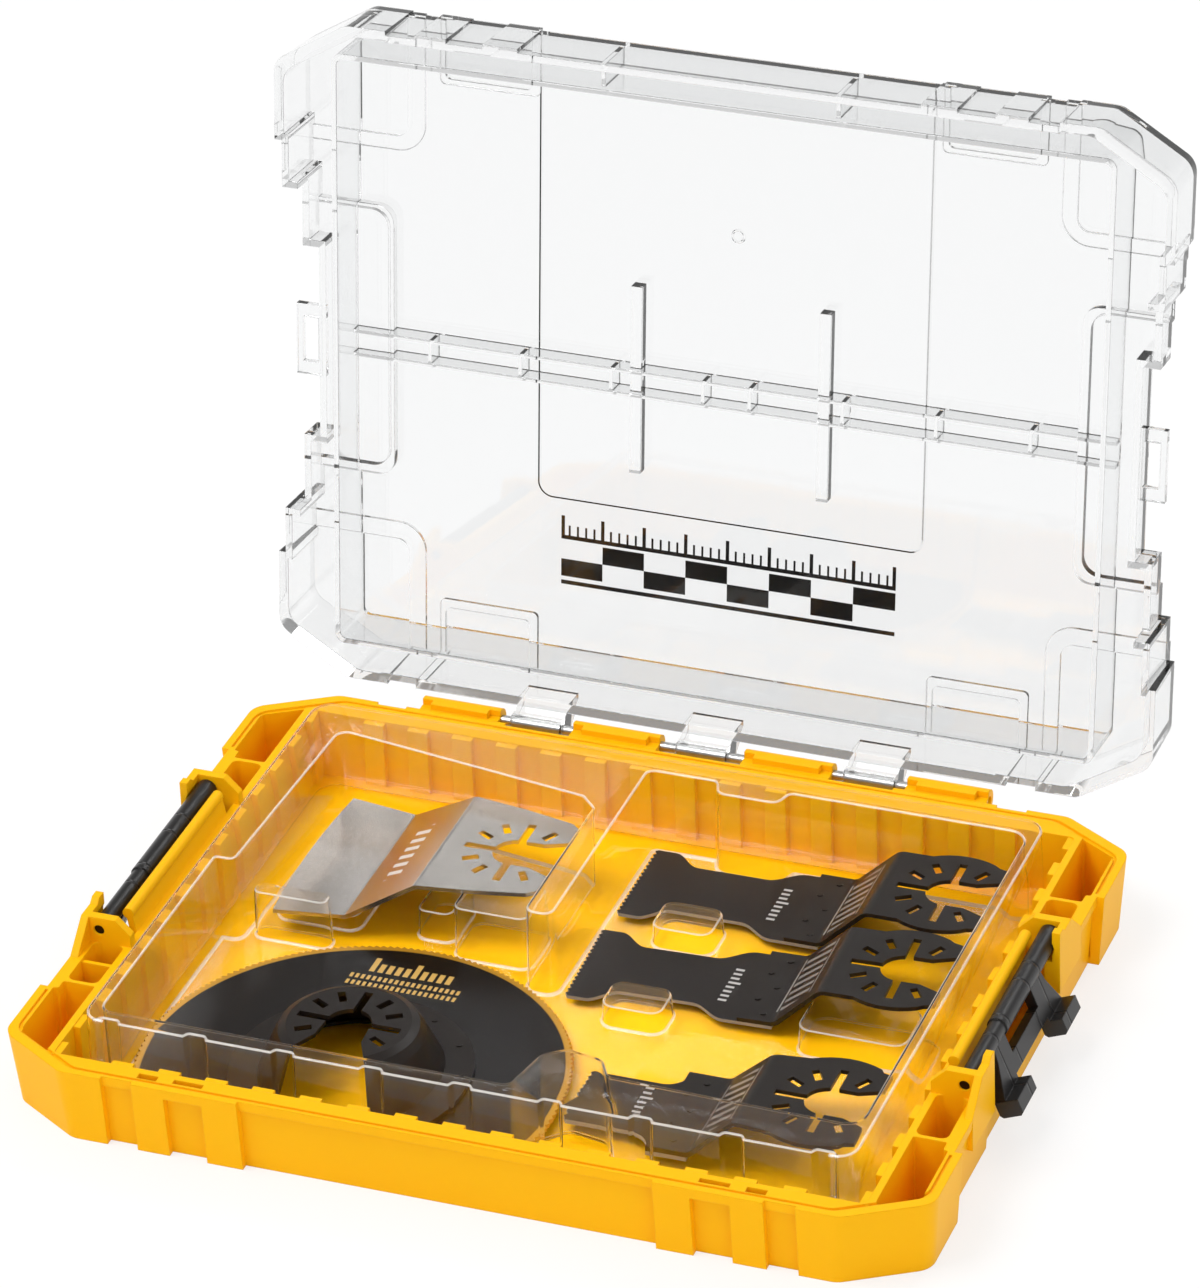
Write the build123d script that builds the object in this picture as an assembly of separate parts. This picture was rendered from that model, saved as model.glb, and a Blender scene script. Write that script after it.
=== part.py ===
"""Storage case for oscillating-tool saw blades, in its rest state: lid open, latches swung down.

Frame: millimetres, origin at the centre of the base's underside, +X right along the hinge,
+Y towards the hinge, +Z up. The blades come first: the insert is as large as they and their
play need, and the case is as large as the insert and its own walls need. The lid and the
latches are drawn closed and then turned open.
"""

import os
from math import cos, pi, radians, sin

from build123d import *

# ---- blades, each measured from its tool arbor ----
blade_gap = 0.3
blade_plate = 1.0
shank_plate = 1.2
arbor_radius = 6.0
flange_slot = 2.3
slot_reach = 14.3
small_slot_circle = 12.0
small_slot = (4.6, 2.1)
mouth_flare = 2.6
tip_step = 2.6
rivet_radius = 0.9
rivet_dome = 0.25
rivet_stagger = 3.4
rivet_spacing = 6.3
rivet_inset = 2.8
tooth_depth = 0.9
tooth_pitch = 1.9
tooth_rake = 0.35
scraper_edge = 60.6
scraper_tip = 12.5
scraper_half = 29.0
scraper_bow = 1.5
scraper_taper = 3.0
scraper_fold = 39.0
scraper_high = 19.5
scraper_rise = 11.5
scraper_bend = 1.2
saw_edge = 87.9
saw_tip = 12.4
saw_half = 16.2
saw_lap = 41.0
saw_fold = 30.5
saw_high = 18.0
saw_rise = 12.0
saw_bend = 3.0
saw_waist = 5.3
shoulder_span = (5.0, 13.0)
flare_span = (14.0, 4.0)
flange_bulge = 2.0
neck_inset = 0.5
rear_angle = 0.3
middle_angle = 2.4
front_half = 10.8
front_lap = 43.6
front_fold = 31.6
front_high = 19.5
front_rise = 10.8
front_flare = 5.7
front_bulge = 3.2
front_start = 3.0
round_radius = 58.0
round_cut = 26.5
hub_rise = 14.8
hub_flat = 16.5
hub_shoulder = 20.0
hub_round = 3.6
hub_foot = 24.5
hub_skirt = 32.2
hub_front = 4.0
hub_mouth = ((6.5, -7.5), (16.0, -26.5))
rivet_circle = 29.0

# ---- insert tray: its sheet, its shelves and the blades' play ----
insert_sheet = 0.6
insert_clearance = 0.3
insert_floor = 4.4
insert_rise = 8.4
insert_corner = 7.0
insert_notch_width = 5.0
insert_notch_depth = 1.6
insert_notch_pitch = 24.4
insert_notch_count = 9
left_shelf = 3.0
scraper_side_shelf = 8.5
right_shelf = 2.5
front_shelf = 4.5
saw_front_shelf = 14.0
back_shelf = 6.1
scraper_back_shelf = 11.7
divider_width = 6.3
scraper_play_left = 5.9
scraper_play_right = 5.2
scraper_play_back = 4.1
saw_play_left = 3.9
saw_play_right = 5.3
saw_play_back = 0.5
saw_spacing = 1.5
front_play = 5.0
round_play_side = 1.0
round_play_front = 0.5
scraper_overlap = 0.3
pocket_draft = 2.5
pocket_cut = 5.0
pocket_slope = 8.0
round_overlap = 7.5
scraper_shelf_top = 8.8
guide_top = 11.0
rest_top = 12.5
step_top = 13.4
corner_top = 19.0

# ---- case, overall ----
base_height = 21.6
lid_height = 20.7
rim_gap = 0.3
corner_cut_x = 20.8
corner_cut_y = 12.5
corner_radius = 6.0
base_lean = 1.6
lid_lean = 0.8
insert_play_side = 3.4
insert_play_front = 3.9
insert_play_back = 5.1
side_zone = 16.2
front_zone = 7.45
back_zone = 9.25
overreach = 20.0

# ---- base walls ----
outer_wall = 2.2
inner_wall = 2.0
floor_thickness = 2.0
rim_lip_height = 3.0
middle_recess = 1.2
under_lip_recess = 0.9
bump_a = (77.0, 86.0)
bump_b = (56.5, 66.5)
corner_pad = 32.5
side_recess_half = 61.0
side_recess = 2.1
bay_recess = 4.0
comb_width = 6.0
comb_depth = 1.9
comb_pitch = 13.1
comb_count = 15
side_comb_count = 14
pocket_wall_radius = 2.0
pocket_edge_radius = 0.6
pocket_rib = 1.2
pocket_rib_y = 57.0
split_rib_y = 46.3
split_rib_drop = 0.8
seal_rib = 0.8
seal_rib_height = 0.7
seal_start = 62.5
rim_window_width = 2.1
rim_window_a = (80.2, 85.6)
rim_window_a_floor = 4.0
rim_window_b = (67.6, 75.8)
rim_window_b_floor = 15.0
rim_window_b_skin = 0.4

# ---- latch bay on each side of the base ----
pivot_inset = 7.0
pivot_rise = 3.9
ear_inner_y = 35.5
ear_thickness = 2.5
ear_foot = 12.0
ear_cap = 3.8
ear_slope_end = 46.5
ear_chamfer = 4.2
ear_edge = 1.7
horn_rise = 1.4
horn_width = 2.6
horn_slope = 1.6
bay_opening_half = 28.0
bay_wall = 0.6
sill_height = 9.0
guard_half = 30.5
guard_foot_z = 12.0
guard_foot_x = 0.2
guard_thickness = 1.9
guard_rise = 1.5
guard_roll_radius = 1.6
guard_gap = 0.8

# ---- hinge ----
hinge_offset = 4.15
hinge_drop = 2.0
open_angle = 97.25
hinge_pin_radius = 1.5
pin_clearance = 0.05
pin_end_inset = 0.8
lug_spans = ((12.3, 37.8), (59.3, 82.5))
lug_radius = 3.3
lug_shoulder = 3.0
lug_foot = 7.0
lug_notch = 3.2
lug_notch_depth = 1.8
lug_notch_reach = 2.8
knuckle_centres = (-48.6, 0.0, 48.6)
knuckle_width = 14.6
knuckle_play = 0.1
knuckle_arm_rise = 9.9
knuckle_shoulder = 4.5

# ---- lid ----
lid_wall = 2.0
lid_plate = 2.0
lid_main_drop = 1.2
lid_rib_thickness = 1.5
lid_rib_inset_side = 0.5
lid_rib_inset_front = 0.8
lid_rib_inset_back = 1.0
lid_rib_lift = 0.6
lid_rib_corner = 3.0
corner_zone_width = 36.5
corner_zone_depth = 40.95
corner_zone_radius = 8.0
corner_zone_slope = 4.5
edge_zone = (57.0, 86.0)
edge_zone_front = 20.0
edge_zone_back = 19.75
edge_zone_radius = 1.5
edge_zone_slope = 2.0
hinge_zone_half = 85.0
latch_recess_half = 38.0
latch_recess_radius = 5.0
latch_recess_margin = 14.5
latch_recess_gap = 0.3
bay_wall_gap = 1.0
hood_gap = 0.4
hood_lift = 0.5
hood_end = 47.5
rail_half_gap = 3.4
rail_width = 1.0
rail_height = 6.0
rung_first = 6.7
rung_pitch = 26.5
rung_count = 4
press_rib_x = 27.0
press_rib_width = 3.2
press_rib_half = 27.4
press_rib_height = 3.5
web_x = 33.0
web_thickness = 1.2
web_lift = 3.0

# ---- latches ----
barrel_radius = 2.8
barrel_thin_radius = 2.4
barrel_step_y = -10.5
latch_pin_radius = 1.5
barrel_end_gap = 0.4
arm_thickness = 3.0
arm_inner_y = 10.9
arm_root_y = 19.0
arm_end_y = 25.0
arm_flare = 5.0
pad_inner_y = 13.4
pad_s = (13.8, 18.6)
pad_depth = 6.7
pad_chamfer = 0.8
web_s = (7.7, 12.6)
latch_swing = 158.0

# ---- catch tab on the lid, held under the latch's cross bar ----
catch_half = 10.4
catch_reach = 7.2
catch_thickness = 2.0
catch_gap = 0.4
catch_window_half = 6.6
catch_bar = 1.9
catch_root = 0.8

# ---- worked out: widths along X ----
scraper_room = scraper_play_left + scraper_edge + scraper_tip + scraper_play_right
saw_room = saw_play_left + saw_edge + saw_tip + saw_play_right
insert_width = scraper_side_shelf + scraper_room + divider_width + saw_room + right_shelf
insert_half_width = insert_width / 2
compartment_half_width = insert_half_width + insert_play_side + comb_depth
half_width = compartment_half_width + side_zone
case_width = 2 * half_width
divider_left = scraper_side_shelf + scraper_room - insert_half_width
divider_right = divider_left + divider_width
scraper_x = divider_left - scraper_play_right - scraper_tip
saw_x = insert_half_width - right_shelf - saw_play_right - saw_tip
round_x = left_shelf + round_play_side + round_radius - insert_half_width
round_right = round_x + round_radius
front_edge = saw_x - round_right - front_start

# ---- worked out: depths along Y ----
round_depth = round_play_front + round_cut + round_radius
scraper_depth = 2 * scraper_half + scraper_play_back
insert_depth = front_shelf + round_depth - scraper_overlap + scraper_depth + scraper_back_shelf
compartment_depth = insert_depth + insert_play_front + insert_play_back + 2 * comb_depth
case_depth = compartment_depth + front_zone + back_zone
half_depth = case_depth / 2
compartment_front = half_depth - front_zone
compartment_back = half_depth - back_zone
insert_front = comb_depth + insert_play_front - compartment_front
insert_back = compartment_back - comb_depth - insert_play_back
round_y = insert_front + front_shelf + round_play_front + round_cut
round_back = round_y + round_radius
scraper_y = round_back - scraper_overlap + scraper_half
flange_half = saw_half + flange_bulge
front_lap_half = front_half + front_flare
front_flange_half = front_lap_half + front_bulge
rear_y = insert_back - back_shelf - saw_play_back - flange_half
middle_y = rear_y - 2 * flange_half - saw_spacing
front_y = insert_front + saw_front_shelf + front_play + front_flange_half
hinge_y = half_depth + hinge_offset

# ---- worked out: heights ----
insert_top = base_height + insert_rise
lid_bottom = base_height + rim_gap
closed_height = lid_bottom + lid_height
main_ceiling = closed_height - lid_main_drop - lid_plate
hinge_z = base_height - hinge_drop
lug_top = hinge_z + lug_radius
pivot_z = base_height + pivot_rise
ear_top = pivot_z + ear_cap
blade_floor = insert_floor + blade_gap
scraper_floor = scraper_shelf_top + blade_gap
flange_rest_top = scraper_floor + scraper_rise - blade_gap

# ---- worked out: the latch side and the cutters' reach ----
pivot_x = half_width - pivot_inset
bay_wall_x = pivot_x - arm_thickness / 2 - bay_wall_gap
hood_x = half_width - side_recess - outer_wall - hood_gap
pad_start = half_width - corner_pad
lid_rib_half_width = compartment_half_width - lid_rib_inset_side
far_x = half_width + overreach
far_y = half_depth + overreach
far_z = closed_height + overreach


def polygon(points):
    """A flat face through points in space; neighbours that coincide count once."""
    kept = []
    for point in points:
        if not kept or (Vector(*point) - Vector(*kept[-1])).length > 0.001:
            kept.append(point)
    return make_face(Polyline(*kept, close=True).edges())


def in_plan(points):
    """A flat face over (x, y) points at height 0."""
    return polygon([(x, y, 0) for x, y in points])


def plate(points, z0, z1):
    """A prism over a polygon in plan."""
    return extrude(Pos(0, 0, z0) * in_plan(points), amount=z1 - z0, dir=(0, 0, 1))


def along_x(points, x0, x1):
    """A prism over a polygon of (y, z) points, between two x values."""
    low, high = min(x0, x1), max(x0, x1)
    return extrude(polygon([(low, y, z) for y, z in points]), amount=high - low, dir=(1, 0, 0))


def along_y(points, y0, y1):
    """A prism over a polygon of (x, z) points, between two y values."""
    low, high = min(y0, y1), max(y0, y1)
    return extrude(polygon([(x, low, z) for x, z in points]), amount=high - low, dir=(0, 1, 0))


def block(x0, x1, y0, y1, z0, z1):
    """A box between its two corners."""
    return Pos((x0 + x1) / 2, (y0 + y1) / 2, (z0 + z1) / 2) * Box(x1 - x0, y1 - y0, z1 - z0)


def rounded_block(x0, x1, y0, y1, z0, z1, radius):
    """A box whose upright edges are rounded, as far as its sides have room."""
    room = 0.49 * min(x1 - x0, y1 - y0)
    face = RectangleRounded(x1 - x0, y1 - y0, min(radius, room))
    return extrude(Pos((x0 + x1) / 2, (y0 + y1) / 2, z0) * face, amount=z1 - z0)


def rod_x(radius, x0, x1, y, z):
    """A cylinder along X."""
    return Pos((x0 + x1) / 2, y, z) * Rot(0, 90, 0) * Cylinder(radius, x1 - x0)


def rod_y(radius, y0, y1, x, z):
    """A cylinder along Y."""
    return Pos(x, (y0 + y1) / 2, z) * Rot(90, 0, 0) * Cylinder(radius, y1 - y0)


def left_and_right(shape):
    """The shape with its mirror image across the middle of the case."""
    return shape + mirror(shape, about=Plane.YZ)


def front_and_back(shape):
    """The shape with its mirror image in the case's back half."""
    return shape + mirror(shape, about=Plane.XZ)


def octagon(inset, z):
    """The case's outline in plan, drawn in by an inset, as a face at a height."""
    x = half_width - inset
    y = half_depth - inset
    corners = [
        (x - corner_cut_x, -y), (x, corner_cut_y - y), (x, y - corner_cut_y), (x - corner_cut_x, y),
        (corner_cut_x - x, y), (-x, y - corner_cut_y), (-x, corner_cut_y - y), (corner_cut_x - x, -y),
    ]
    face = Face(Wire.make_polygon([Vector(a, b, z) for a, b in corners], close=True))
    return fillet(face.vertices(), corner_radius)


def leaning_block(bottom_inset, top_inset, z0, z1):
    """The case's outline lofted between two insets."""
    return loft([octagon(bottom_inset, z0), octagon(top_inset, z1)], ruled=True)


def wall_cutter(edge, at_lip, below_lip):
    """Outline of a cutter that sets a wall of the base back from its edge, less at the rim's lip."""
    lip_z = base_height - rim_lip_height
    outside = edge + overreach

    def wall(z, depth):
        return edge - depth - base_lean * (1 - z / base_height)

    return [
        (outside, -1), (wall(-1, below_lip), -1), (wall(lip_z, below_lip), lip_z),
        (wall(lip_z, at_lip), lip_z), (wall(base_height + 1, at_lip), base_height + 1),
        (outside, base_height + 1),
    ]


def front_recess(x0, x1, at_lip, below_lip):
    """Cutter that sets the base's front wall back between two x values."""
    outline = [(-y, z) for y, z in wall_cutter(half_depth, at_lip, below_lip)]
    return along_x(outline, x0, x1)


def side_cut(y_half, at_lip, below_lip):
    """Cutter that sets the base's right wall back between -y_half and y_half."""
    return along_y(wall_cutter(half_width, at_lip, below_lip), -y_half, y_half)


def outer_recesses():
    """All set-backs of the base's outer walls."""
    deep = middle_recess + under_lip_recess
    front = front_recess(-bump_b[0], bump_b[0], middle_recess, deep)
    front += left_and_right(front_recess(bump_b[1], bump_a[0], 0.01, deep))
    front += left_and_right(front_recess(bump_a[1], pad_start, middle_recess, deep))
    sides = side_cut(side_recess_half, side_recess, side_recess + under_lip_recess)
    bay = side_cut(bay_opening_half, bay_recess, bay_recess)
    return front_and_back(front) + left_and_right(sides + bay)


def comb_ribs():
    """Upright ribs on the compartment's walls, a tooth at each one's top."""
    top = base_height - rim_gap
    root = inner_wall / 4
    x_wall = compartment_half_width
    ribs = []
    for i in range(comb_count):
        x = (i - (comb_count - 1) / 2) * comb_pitch
        x0 = x - comb_width / 2
        x1 = x + comb_width / 2
        ribs.append(block(x0, x1, -compartment_front - root, comb_depth - compartment_front, 1, top))
        ribs.append(block(x0, x1, compartment_back - comb_depth, compartment_back + root, 1, top))
    for i in range(side_comb_count):
        y = (compartment_back - compartment_front) / 2 + (i - (side_comb_count - 1) / 2) * comb_pitch
        y0 = y - comb_width / 2
        y1 = y + comb_width / 2
        ribs.append(left_and_right(block(x_wall - comb_depth, x_wall + root, y0, y1, 1, top)))
    return ribs


def side_pocket(y0, y1):
    """Open pocket between the right inner wall and the outer wall."""
    x0 = compartment_half_width + inner_wall
    x1 = half_width - side_recess - under_lip_recess - outer_wall
    return rounded_block(x0, x1 - 0.4, y0, y1, floor_thickness, far_z, pocket_wall_radius)


def corner_pocket():
    """Front right corner pocket, which follows the cut corner."""
    x0 = compartment_half_width + inner_wall
    x1 = half_width - base_lean - outer_wall
    y_end = -pocket_rib_y - pocket_rib / 2
    y_side = corner_cut_y + outer_wall - half_depth
    y_front = y_side - (x1 - x0) * corner_cut_y / corner_cut_x
    step = half_width - side_recess - under_lip_recess - outer_wall
    outline = [
        (x0, y_front), (x1, y_side), (x1, -side_recess_half), (step, -side_recess_half),
        (step, y_end), (x0, y_end),
    ]
    pocket = plate(outline, floor_thickness, far_z)
    return fillet(pocket.edges().filter_by(Axis.Z), pocket_edge_radius)


def side_pockets():
    """Every open pocket beside the compartment."""
    ear_outer_y = ear_inner_y + ear_thickness
    middle = side_pocket(pocket_rib / 2 - pocket_rib_y, -ear_outer_y)
    return left_and_right(front_and_back(corner_pocket() + middle))


def split_rib():
    """Thin rib that splits the front left side pocket in two."""
    x0 = compartment_half_width + inner_wall / 2
    x1 = half_width - side_recess - outer_wall
    y = -split_rib_y
    return block(-x1, -x0, y - pocket_rib / 2, y + pocket_rib / 2, 1, base_height - split_rib_drop)


def bay_hollow():
    """Hollow of the latch bay, open to the outside above a low sill."""
    x0 = compartment_half_width + inner_wall
    x1 = half_width - side_recess - base_lean - outer_wall - bay_wall
    half = bay_opening_half
    hollow = block(x0, x1, -ear_inner_y, ear_inner_y, floor_thickness, far_z)
    opening = block(x0, far_x, -half, half, sill_height, far_z)
    return left_and_right(hollow + opening)


def ear(sign):
    """One latch ear: a cross wall with the pin's hole and the raised piece of the outer wall."""
    outer_x = half_width - side_recess
    inner_x = compartment_half_width + 0.2
    ear_outer_y = ear_inner_y + ear_thickness
    cross = [
        (inner_x, ear_foot), (inner_x, ear_top - ear_chamfer), (inner_x + ear_chamfer, ear_top),
        (outer_x - ear_edge, ear_top), (outer_x, ear_top - ear_edge), (outer_x, ear_foot),
    ]
    horn_top = ear_top + horn_rise
    horn_end = bay_opening_half + horn_width
    raised = [
        (bay_opening_half, ear_foot), (bay_opening_half, horn_top), (horn_end, horn_top),
        (horn_end + horn_slope, ear_top), (ear_outer_y, ear_top), (ear_slope_end, base_height),
        (ear_slope_end, ear_foot),
    ]
    wall = along_x([(sign * y, z) for y, z in raised], outer_x - outer_wall, outer_x)
    return along_y(cross, sign * ear_inner_y, sign * ear_outer_y) + wall


def guard():
    """Leaf that leans out of the right inner wall over the latch's barrel, with a rolled top."""
    foot_x = compartment_half_width + guard_foot_x
    roll_x = pivot_x - barrel_radius - guard_gap - guard_roll_radius
    top_z = pivot_z + guard_rise
    t = guard_thickness / 2
    outline = [
        (foot_x, guard_foot_z), (foot_x + guard_thickness, guard_foot_z),
        (roll_x - 0.2 + t, top_z), (roll_x - 0.2 - t, top_z),
    ]
    leaf = along_y(outline, -guard_half, guard_half)
    return leaf + rod_y(guard_roll_radius, -guard_half, guard_half, roll_x, top_z)


def hinge_lugs():
    """Four lugs behind the base's back wall, bored for the hinge pin."""
    lugs = []
    wall_y = half_depth - middle_recess - under_lip_recess - outer_wall / 2
    shoulder_y = hinge_y - lug_shoulder
    outline = [
        (wall_y, hinge_z - lug_foot), (hinge_y + 1, hinge_z - lug_radius), (hinge_y, hinge_z),
        (hinge_y, lug_top), (shoulder_y, lug_top), (shoulder_y, base_height - 0.4),
        (wall_y, base_height - 0.4),
    ]
    for x0, x1 in lug_spans:
        lug = along_x(outline, x0, x1) + rod_x(lug_radius, x0, x1, hinge_y, hinge_z)
        for end in (x0, x1 - lug_notch):
            y = hinge_y - 0.8
            lug -= block(end, end + lug_notch, y - lug_notch_reach, y, lug_top - lug_notch_depth, far_z)
        lugs.append(left_and_right(lug))
    return lugs


def front_wall_hollow():
    """Narrow windows in the rim of the front wall, between its two skins."""
    y1 = -compartment_front - inner_wall
    y0 = y1 - rim_window_width
    front = block(*rim_window_a, y0, y1, rim_window_a_floor, far_z)
    front += block(*rim_window_b, y0 + rim_window_b_skin, y1, rim_window_b_floor, far_z)
    return left_and_right(front)


def seal_groove():
    """Shallow groove round the rim, beside the thin seal rib."""
    ring = octagon(outer_wall, 0) - octagon(outer_wall + seal_rib, 0)
    groove = extrude(Pos(0, 0, base_height - seal_rib_height) * ring, amount=2)
    return groove - block(-half_width, half_width, -seal_start, seal_start, 0, far_z)


def base_tray():
    """The moulded base."""
    body = leaning_block(base_lean, 0, 0, base_height) - outer_recesses()
    body += left_and_right(ear(1) + ear(-1))
    x = compartment_half_width
    body -= rounded_block(-x, x, -compartment_front, compartment_back, floor_thickness, far_z, 1.5)
    body -= side_pockets()
    body -= bay_hollow()
    body -= front_wall_hollow()
    body -= seal_groove()
    for rib in comb_ribs():
        body += rib
    body += split_rib()
    body += left_and_right(guard())
    for lug in hinge_lugs():
        body += lug
    ear_end = ear_inner_y + 3 * ear_thickness
    bore = rod_x(hinge_pin_radius, -half_width, half_width, hinge_y, hinge_z)
    ears = rod_y(latch_pin_radius, -ear_end, ear_end, pivot_x, pivot_z)
    swing = rod_y(barrel_radius + barrel_end_gap, -ear_inner_y, ear_inner_y, pivot_x, pivot_z)
    return body - bore - left_and_right(ears + swing)


def hinge_pin():
    """Steel wire through every lug and knuckle."""
    reach = lug_spans[1][1] - pin_end_inset
    return rod_x(hinge_pin_radius, -reach, reach, hinge_y, hinge_z)


def turned_open(shape):
    """A piece drawn on the closed lid, turned open about the hinge."""
    return shape.rotate(Axis((0, hinge_y, hinge_z), (1, 0, 0)), -open_angle)


def raised_zones(z0, z1, corner_inset, edge_inset):
    """Raised zones of the lid's top: the four corners, and two pads along the front and the back."""
    x0 = half_width - corner_zone_width + corner_inset
    y0 = half_depth - corner_zone_depth + corner_inset
    radius = corner_zone_radius - corner_inset
    zones = front_and_back(rounded_block(x0, far_x, y0, far_y, z0, z1, radius))
    x0 = edge_zone[0] + edge_inset
    x1 = edge_zone[1] - edge_inset
    y0 = half_depth - edge_zone_front + edge_inset
    y1 = half_depth - edge_zone_back + edge_inset
    zones += rounded_block(x0, x1, -far_y, -y0, z0, z1, edge_zone_radius)
    zones += rounded_block(x0, x1, y1, far_y, z0, z1, edge_zone_radius)
    return left_and_right(zones)


def lid_front_recess():
    """Set-backs of the lid's front and back walls, in line with the base's."""
    y = half_depth - middle_recess
    front = block(-bump_b[0], bump_b[0], -far_y, -y, 0, far_z)
    front += left_and_right(block(bump_b[1], bump_a[0], -far_y, -y, 0, far_z))
    front += left_and_right(block(bump_a[1], pad_start, -far_y, -y, 0, far_z))
    back = mirror(front, about=Plane.XZ) - block(-hinge_zone_half, hinge_zone_half, 0, far_y, 0, far_z)
    return front + back


def lid_side_cuts():
    """Set-back of the lid's side walls: long panel, hood over the ears, latch bay."""
    half = bay_opening_half
    under_x = lid_rib_half_width + 0.6
    side = block(half_width - side_recess, far_x, -side_recess_half, side_recess_half, 0, far_z)
    hood = block(hood_x, far_x, -hood_end, hood_end, 0, far_z)
    bay = block(bay_wall_x, far_x, -half, half, 0, far_z)
    below = block(under_x, far_x, -hood_end, hood_end, 0, ear_top + hood_lift)
    return left_and_right(side + hood + bay + below)


def latch_recesses(inset, drop):
    """Lowered zones of the lid's top under the latch pads, or the ceiling below them."""
    x0 = pivot_x + arm_thickness / 2 - pad_depth - latch_recess_margin - inset
    half = latch_recess_half + inset
    z0 = pivot_z + pad_s[0] - latch_recess_gap - drop
    return left_and_right(rounded_block(x0, far_x, -half, half, z0, far_z, latch_recess_radius))


def lid_wall_fillers():
    """What the lid's cavity leaves standing behind the set-backs of its walls."""
    side = block(half_width - side_recess - lid_wall, far_x, -side_recess_half - lid_wall,
                 side_recess_half + lid_wall, 0, far_z)
    hood = block(hood_x - lid_wall, far_x, -hood_end - lid_wall, hood_end + lid_wall, 0, far_z)
    bay_y = bay_opening_half + lid_wall
    bay = block(bay_wall_x - lid_wall, far_x, -bay_y, bay_y, 0, far_z)
    y = half_depth - middle_recess - lid_wall
    front = block(-pad_start, pad_start, -far_y, -y, 0, far_z)
    back = block(hinge_zone_half - lid_wall, pad_start + lid_wall, y, far_y, 0, far_z)
    return left_and_right(side + hood + bay + back) + front


def lid_cavity():
    """The lid's inside."""
    z0 = lid_bottom - 2
    inside = Pos(0, 0, z0) * octagon(lid_wall + lid_lean, 0)
    high = raised_zones(main_ceiling - 1, closed_height - lid_plate, corner_zone_slope, edge_zone_slope)
    room = extrude(inside, amount=main_ceiling - z0) + (high & extrude(inside, amount=far_z - z0))
    room -= lid_wall_fillers()
    return room - latch_recesses(lid_wall, lid_plate)


def lid_inner_rib():
    """Upright rib round the inside of the lid, above the compartment's walls."""
    x = lid_rib_half_width
    front = compartment_front - lid_rib_inset_front
    back = compartment_back - lid_rib_inset_back
    z0 = base_height + lid_rib_lift
    z1 = closed_height - lid_main_drop - lid_plate / 4
    t = lid_rib_thickness
    outer = rounded_block(-x, x, -front, back, z0, z1, lid_rib_corner)
    return outer - rounded_block(t - x, x - t, t - front, back - t, 0, far_z, lid_rib_corner - 1)


def lid_webs():
    """Two thin webs between the lid's front wall and its inner rib."""
    t = web_thickness / 2
    y0 = half_depth - middle_recess - lid_wall / 2
    y1 = compartment_front - lid_rib_inset_front - lid_rib_thickness / 2
    web = block(web_x - t, web_x + t, -y0, -y1, lid_bottom + web_lift, main_ceiling + lid_plate / 2)
    return left_and_right(web)


def lid_ladder():
    """Ladder of ribs across the lid's inside, and the two ribs that press on the insert."""
    low = main_ceiling - rail_height
    high = main_ceiling + lid_plate / 4
    t = rail_width / 2
    reach = lid_rib_half_width - lid_rib_thickness / 2
    ribs = front_and_back(block(-reach, reach, rail_half_gap - t, rail_half_gap + t, low, high))
    for i in range(rung_count):
        x = rung_first + i * rung_pitch
        ribs += left_and_right(block(x - t, x + t, -rail_half_gap, rail_half_gap, low, high))
    half = press_rib_width / 2
    long = press_rib_half
    low = main_ceiling - press_rib_height
    ribs += left_and_right(block(press_rib_x - half, press_rib_x + half, -long, long, low, high))
    return ribs


def catch_tab():
    """Tab on the lid's right side that the latch's cross bar holds down."""
    top = pivot_z + web_s[0] - catch_gap
    bottom = top - catch_thickness
    half = catch_window_half
    x1 = bay_wall_x + catch_reach
    tab = block(bay_wall_x - lid_wall / 4, x1, -catch_half, catch_half, bottom, top)
    return tab - block(bay_wall_x + catch_root, x1 - catch_bar, -half, half, bottom - 1, top + 1)


def knuckle(x):
    """One hinge knuckle of the lid, with its arm up the back wall."""
    x0 = x - knuckle_width / 2
    x1 = x + knuckle_width / 2
    wall_y = half_depth - lid_wall / 2
    arm_top = lid_bottom + knuckle_arm_rise
    outline = [
        (wall_y, lid_bottom + 0.4), (half_depth + rim_gap, lid_bottom + 0.4), (hinge_y - 2, hinge_z),
        (hinge_y + lug_radius, hinge_z), (hinge_y + lug_radius, hinge_z + knuckle_shoulder),
        (half_depth + 1.5, arm_top), (wall_y, arm_top),
    ]
    return along_x(outline, x0, x1) + rod_x(lug_radius - knuckle_play, x0, x1, hinge_y, hinge_z)


def lid():
    """The clear lid, drawn closed and turned open."""
    body = leaning_block(0, lid_lean, lid_bottom, closed_height)
    body -= lid_front_recess()
    body -= lid_side_cuts()
    slab = block(-far_x, far_x, -far_y, far_y, closed_height - lid_main_drop, far_z)
    body -= slab - raised_zones(0, far_z + 1, 0, 0)
    body -= lid_cavity()
    body += lid_inner_rib()
    body += lid_webs()
    body += lid_ladder()
    body -= latch_recesses(0, 0)
    body += left_and_right(catch_tab())
    for x in knuckle_centres:
        body += knuckle(x)
    body -= rod_x(hinge_pin_radius + pin_clearance, -half_width, half_width, hinge_y, hinge_z)
    return turned_open(body)


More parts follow.
